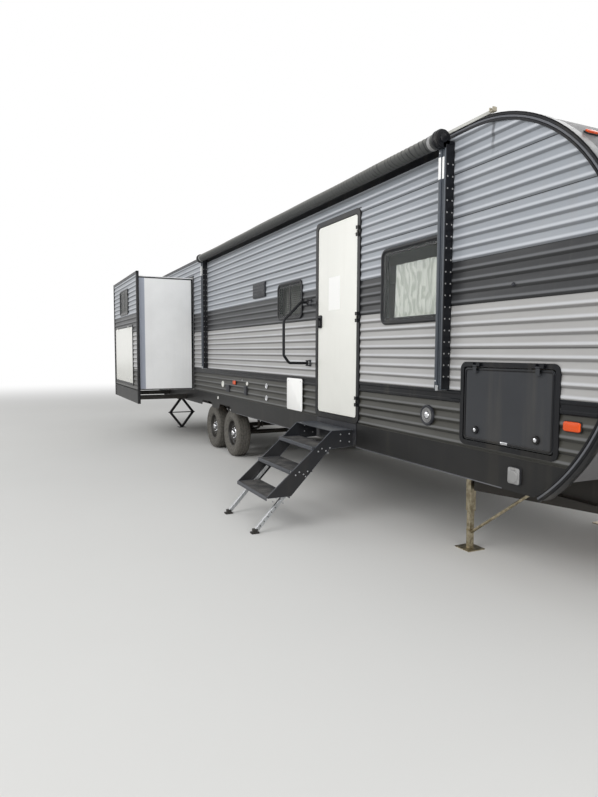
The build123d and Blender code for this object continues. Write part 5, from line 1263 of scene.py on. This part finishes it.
def roll_surface(x0, x1, along=520, around=56):
    """Radius = roller radius + creases that lean with the turn and fade from the ends + two slow swells."""
    x = np.linspace(x0, x1, along)[:, None]
    turn = np.linspace(0, 2 * np.pi, around, endpoint=False)
    fade = 0.15 + 0.85 * np.exp(-(np.minimum(x - x0, x1 - x) / 0.7) ** 2)
    crease = 0.0014 * fade * np.sin(2 * np.pi * x / crease_pitch + 1.6 * np.sin(turn) + 2.2 * np.sin(9.0 * x))
    swell = 0.0012 * np.sin(2.1 * x + 0.7) + 0.0010 * np.sin(5.3 * x)
    reach = roller_radius + crease + swell
    points = points_at(x, roller_place[0] + reach * np.cos(turn), roller_place[1] + reach * np.sin(turn))
    return points, grid_faces(along, around, False, True) + ends(along, around)


cover = Shape().add(roll_surface(arm_places[1] + 0.033, arm_places[0] - 0.033))
sleeve = [(0.050, -0.016), (0.0535, -0.014), (0.0535, 0.014), (0.050, 0.016)]
for x in (arm_places[1] + 0.075, arm_places[0] - 0.075):
    cover.add(turned(sleeve, (x, *roller_place), (1, 0, 0)), 1)
cover.build("awning_cover", "caravan", cover_paint(), grey_plastic,
            replaces=["awning_roller"], slot="fabric_grey", angle=60)

inner_channel = [
    (-0.031, 0), (-0.031, 0.080), (-0.027, 0.087), (-0.020, 0.088), (-0.006, 0.088), (-0.002, 0.086),
    (-0.001, 0.080), (-0.001, 0),
]
outer_channel = [
    (0.0, 0), (0.0, 0.072), (0.003, 0.079), (0.010, 0.079), (0.012, 0.074), (0.019, 0.074), (0.021, 0.079),
    (0.028, 0.079), (0.031, 0.074), (0.031, 0),
]
cheek_section = [(-0.039, 0), (-0.037, 0.003), (0.030, 0.003), (0.032, 0)]
cap_profile = [
    (0, -0.031), (0.050, -0.031), (0.060, -0.029), (0.064, -0.022), (0.064, -0.008), (0.060, -0.006),
    (0.060, 0.0), (0.064, 0.002), (0.064, 0.018), (0.060, 0.020), (0.058, 0.031), (0, 0.031),
]
cap_boss = [(0.0, 0.030), (0.030, 0.030), (0.030, 0.036), (0.026, 0.038), (0.0, 0.038)]
arms = Shape()
for x in arm_places:
    for section in (inner_channel, outer_channel):
        arms.add(swept(section, [(x, -face_y, arm_foot), (x, -face_y, arm_top)], (1, 0, 0), (0, -1, 0)), 1)
    cheek = [outside(x + arm_half, 0.040, z) for z in (arm_foot + 0.004, arm_top - 0.005)]
    arms.add(swept(cheek_section, cheek, (0, -1, 0), (1, 0, 0)))
    for out in dot_rows:
        arms.add(heads(outside(x + 0.034, out, dot_levels), (1, 0, 0), 0.0060, 0.0018, 10, 2), 2)
    arms.add(span(outside(x - 0.027, 0.0892, label_low), outside(x - 0.003, 0.080, label_high)), 3)
    arms.add(span(outside(x + 0.001, 0.0802, label_low), outside(x + 0.022, 0.072, label_high)), 3)
    low, high = outside(x - 0.013, 0.089, arm_foot - 0.008), outside(x + 0.013, 0.004, arm_foot + 0.030)
    arms.add(span(low, high), 4)
    arms.add(heads(outside(x - 0.016, 0.088, (1.330, 2.880)), (0, -1, 0), 0.007, 0.004), 4)
    arms.add(span((x - arm_half, roller_place[0], 2.905), (x + arm_half, -face_y, 2.955)))
    arms.add(turned(cap_profile, (x, *roller_place), (1, 0, 0), 60))
    arms.add(turned(cap_boss, (x, *roller_place), (1 if x > 0 else -1, 0, 0), 10))
arms.build("awning_arm_pair", "caravan", black_trim, channel_blue, grey_plastic, blank_white, alloy,
           replaces=["awning_arms"], slot="trim_black", angle=30, bevel=0.0008)
# The black rail under the roller is a real rail and also painted shadow: it stands in for the roller's shadow
# on the wall
rail_ends = outside(arm_places[1] + arm_half, 0.010, 2.900), outside(arm_places[0] - arm_half, -0.002, 2.985)
Shape().add(span(*rail_ends)).build("awning_rail_and_painted_shadow", "caravan", black_trim)

# The gutter ends in a small open spout: a floor and two cheeks
gutter = Shape()
low, high = outside(-2.450, 0.012, roof_edge - 0.010), outside(gutter_end, 0.002, roof_edge + 0.010)
gutter.add(span(low, high))
for begin, end, top in ((-0.004, 0.030, -0.006), (-0.004, 0.002, 0.014), (0.024, 0.030, 0.014)):
    low = outside(gutter_end + begin, 0.034, roof_edge - 0.012)
    gutter.add(span(low, outside(gutter_end + end, 0.002, roof_edge + top)), 1)
gutter.build("roof_gutter", "caravan", gutter_paint, spout_paint, bevel=0.001)

# %% [markdown]
# Small things tell the eye how large the wall is. The storage doors get their inner lip, latches and
# pull. The low row along the wall has a speaker, inlets and lids, each a turned or raised form on the
# packed plate that carries it. Above it is the range vent, and louvred lids cover the off side's two.

# %% Fittings on the walls
leaf_y = 1.224
lip_rows = [(0, 1.223), (0, 1.2275), (0.003, 1.2290), (0.010, 1.2290), (0.013, 1.2275), (0.013, 1.223)]
pull_rows = [(0, 1.224), (0, 1.230), (0.003, 1.232)]
knob = [(0.0, -0.002), (0.0255, -0.002), (0.0262, 0.006), (0.024, 0.0125), (0.017, 0.0140), (0.0, 0.0125)]
knob_lock = [(0.013, 0.012), (0.012, 0.0155), (0.006, 0.0175), (0.0, 0.018)]
for side, label in sides.items():
    leaf = shrunk(baggage_hatch, 0.038)
    fittings = Shape().add(framed(shrunk(leaf, 0.004), 0.030, lip_rows, side))
    for x in (leaf[0] + 0.120, leaf[1] - 0.120):
        centre = (x, side * leaf_y, leaf[2] + 0.070)
        fittings.add(turned(knob, centre, (0, side, 0), 36))
        fittings.add(turned(knob_lock, centre, (0, side, 0), 24), 1)
    middle = (leaf[0] + leaf[1]) / 2
    pull = (middle - 0.030, middle + 0.030, leaf[2] + 0.006, leaf[2] + 0.022)
    fittings.add(raised(pull, 0.006, pull_rows, side), 1)
    fittings.build("baggage_fittings_" + label, "baggage_door_" + label, black_trim, chrome, angle=30)


def lid(place, radius, base, rows, side, finish=0):
    """A raised lid on a packed plate whose face stands base off the wall; rows are measured from it."""
    rows = [(inset, face_y + base + depth) for inset, depth in rows]
    details.add(raised(place, radius, rows, side), finish)


def boss(x, z, profile, around, finish=0, y=-face_y):
    """A turned fitting on the door side."""
    details.add(turned(profile, (x, y, z), (0, -1, 0), around), finish)


details = Shape()
speaker = (3.265, 1.068)
speaker_rim = [
    (0.0, 0.002), (0.0755, 0.0), (0.0765, 0.010), (0.073, 0.0165), (0.066, 0.018), (0.060, 0.0145),
    (0.0, 0.0145),
]
speaker_wave = [(-0.0035, 0.014), (-0.002, 0.0168), (0.002, 0.0168), (0.0035, 0.014)]
boss(*speaker, speaker_rim, 64)
for radius in (0.052, 0.043, 0.034):
    boss(*speaker, [(radius + across, out) for across, out in speaker_wave], 64, 1)
boss(*speaker, [(0.026, 0.014), (0.024, 0.018), (0.014, 0.021), (0.0, 0.022)], 40, 2)

inlet_lid = [(0.038, 0.0), (0.038, 0.006), (0.034, 0.009), (0.0, 0.010)]
for side in sides:
    lid((4.083, 4.177, 0.728, 0.827), 0.014, 0.010, [(0, -0.004), (0, 0.003), (0.003, 0.005)], side, 1)
    details.add(turned(inlet_lid, (4.130, side * (face_y + 0.013), 0.772), (0, side, 0), 40), 1)
    details.add(span((4.112, side * (face_y + 0.010), 0.815), (4.148, side * (face_y + 0.019), 0.829)), 1)

# The range vent with its louvres, two small square lids, then the round cups of the low row
lid((-0.294, 0.094, 2.196, 2.364), 0.014, 0.016, [(0, -0.004), (0.002, 0.004), (0.008, 0.006)], door_side)
for z in (2.225, 2.262, 2.299, 2.336):
    details.add(span(outside(-0.270, 0.020, z - 0.004), outside(0.070, 0.026, z + 0.004)))
small_lid = [(0, 0.0), (0.002, 0.005), (0.006, 0.006)]
lid((-1.392, -1.258, 0.968, 1.052), 0.010, 0.012, small_lid, door_side)
lid((-0.634, -0.546, 0.966, 1.074), 0.010, 0.016, small_lid, door_side)
for x, z, radius, finish in (
    (-1.566, 1.059, 0.046, 3), (-0.549, 1.112, 0.026, 3), (0.121, 1.116, 0.034, 2), (0.121, 0.970, 0.034, 2),
):
    cup = [
        (0.0, -0.002), (radius, -0.002), (radius, 0.006), (0.85 * radius, 0.010), (0.7 * radius, 0.009),
        (0.62 * radius, 0.004), (0.0, 0.005),
    ]
    boss(x, z, cup, 36, finish)
boss(-1.815, 0.840, [(0.0, -0.002), (0.022, 0.0), (0.020, 0.008), (0.0, 0.010)], 28, 3, -1.216)
boss(4.075, 1.940, [(0.0, -0.002), (0.013, 0.0), (0.013, 0.008), (0.008, 0.014), (0.0, 0.015)], 24)
hook_x, hook_radius = -0.717, 0.004
for start, end in (((0.0, 1.165), (0.012, 1.160)), ((0.011, 1.163), (0.011, 1.140))):
    details.add(rod(outside(hook_x, *start), outside(hook_x, *end), hook_radius), 2)

# The heater's door and the refrigerator's vent on the off side are louvred lids
for place, base in ((heater_place, 0.008), (cooler_place, 0.012)):
    x0, x1, z0, z1 = place
    lid(place, 0.014, base, [(0, 0.0), (0.002, 0.007), (0.010, 0.009)], off_side, 3)
    slats = points_at((x0 + x1) / 2, face_y + base + 0.010, np.arange(z0 + 0.040, z1 - 0.030, 0.026))
    details.add(blocks(slats, (x1 - x0 - 0.070, 0.006, 0.010)), 1)
skirt_seams = {door_side: ((-1.000, 1.470), (2.230, 4.020)), off_side: ((2.100, 4.020),)}
for side, runs in skirt_seams.items():
    for begin, end in runs:
        details.add(span((begin, side * 1.2125, skirt_low), (end, side * 1.2185, skirt_low + 0.007)), 4)
details.build("wall_details", "caravan", dark_plastic, grey_plastic, chrome, white_gel, insert_paint,
              angle=35)

# %% [markdown]
# Two blank sheets stay where the photograph has printed ones: a notice on the door and a sign on the
# wall beside it. They are bare white, each a thin plate with a rounded outline.

# %% Blank sheets
notice = raised((1.705, 1.925, 1.925, 2.235), 0.004, [(0, 1.2255), (0, 1.2268)], door_side)
Shape().add(notice).build("door_notice", "entry_door", blank_white)
sign_rows = [(0, face_y + 0.016), (0, face_y + 0.019), (0.001, face_y + 0.0195)]
sign = Shape().add(raised((0.760, 1.150, 0.900, 1.245), 0.020, sign_rows, door_side))
sign.add(heads(outside((0.800, 1.110), 0.019, 1.215), (0, -1, 0), 0.006, 0.003), 1)
sign.build("wall_sign", "caravan", blank_white, alloy)

# %% [markdown]
# On the roof each cooling unit has louvres along its sloping sides. A row of thin dark slats follows the
# slope: each level's slat is set in by the share of the height that it stands at.

# %% Roof louvres
louvres = Shape()
levels = np.arange(3.150, 3.345, 0.022)
inset = 0.350 - 0.070 * (levels - 3.110) / 0.260
for x in (-3.600, 1.500):
    for side in sides:
        louvres.add(blocks(points_at(x, side * (inset + 0.001), levels), (0.520, 0.006, 0.009)))
louvres.build("roof_louvres", "caravan", dark_plastic)

# %% [markdown]
# Soft studio light comes from four large panels: the key high on the door side, one in front of the nose,
# a fill from behind on the door side, and one on the far side for the views from there. The floor is
# plain and pale and keeps the shadow. The world shows white to the camera and in reflections, whatever
# it gives to diffuse surfaces.

# %% Floor, lights and world
floor_reach = 60.0
white_fade = (9.0, 24.0)
world_light = 0.48


def floor_sheet():
    """A plain pale floor, far wider than the view, that fades to white where only the camera sees it."""
    corners = [(x * floor_reach, y * floor_reach, 0.0) for x, y in ((-1, -1), (1, -1), (1, 1), (-1, 1))]
    mesh = bpy.data.meshes.new("studio_floor")
    mesh.from_pydata(corners, [], [[0, 1, 2, 3]])
    paint = Paint("studio_floor", specular_ior_level=0.0)
    paint.coat(paint.blend(paint.noise(0.4), seen(226, 226, 224), seen(232, 232, 230)), 0.8)
    far = paint.node("ShaderNodeVectorMath", {"operation": "LENGTH"}, {0: paint.place}, "Value")
    camera_ray = paint.node("ShaderNodeLightPath", output="Is Camera Ray")
    white = paint.node("ShaderNodeEmission", {}, {"Strength": 1.0})
    plain = Wire(paint, paint.shader.outputs[0])
    inputs = {0: far.ramp(*white_fade) * camera_ray, 1: plain, 2: white}
    mixed = paint.node("ShaderNodeMixShader", {}, inputs)
    paint.join(paint.tree.nodes["Material Output"].inputs["Surface"], mixed)
    mesh.materials.append(paint.material)
    piece = bpy.data.objects.new("studio_floor", mesh)
    scene.collection.objects.link(piece)


def soft_light(name, place, target, size, power):
    """A square soft panel that faces a point."""
    data = bpy.data.lights.new(name, "AREA")
    data.shape = "SQUARE"
    data.size = size
    data.energy = power
    light = bpy.data.objects.new(name, data)
    light.location = place
    light.rotation_euler = (Vector(target) - Vector(place)).to_track_quat("-Z", "Y").to_euler()
    scene.collection.objects.link(light)


def studio_world():
    """White to the camera, in reflections and through glass; gentler as a light."""
    world = bpy.data.worlds.new("studio")
    scene.world = world
    world.use_nodes = True
    tree = world.node_tree
    background = tree.nodes["Background"]
    background.inputs["Color"].default_value = (1.0, 1.0, 1.0, 1.0)
    ray = tree.nodes.new("ShaderNodeLightPath")
    total = ray.outputs["Is Camera Ray"]
    for kind in ("Is Glossy Ray", "Is Transmission Ray"):
        either = tree.nodes.new("ShaderNodeMath")
        either.operation = "MAXIMUM"
        tree.links.new(total, either.inputs[0])
        tree.links.new(ray.outputs[kind], either.inputs[1])
        total = either.outputs[0]
    strength = tree.nodes.new("ShaderNodeMapRange")
    tree.links.new(total, strength.inputs[0])
    strength.inputs[3].default_value = world_light
    strength.inputs[4].default_value = 1.0
    tree.links.new(strength.outputs[0], background.inputs["Strength"])


floor_sheet()
soft_light("key", (5.0, -12.0, 8.0), (0.0, -1.0, 1.2), 8.0, 700)
soft_light("front", (15.0, -3.5, 4.5), (2.0, -0.5, 1.4), 6.0, 640)
soft_light("fill", (-8.0, -10.0, 5.0), (-2.0, -1.0, 1.5), 6.0, 200)
soft_light("far_side", (0.0, 10.0, 8.0), (0.0, 1.0, 1.5), 8.0, 380)
studio_world()
scene.view_settings.view_transform = "Standard"
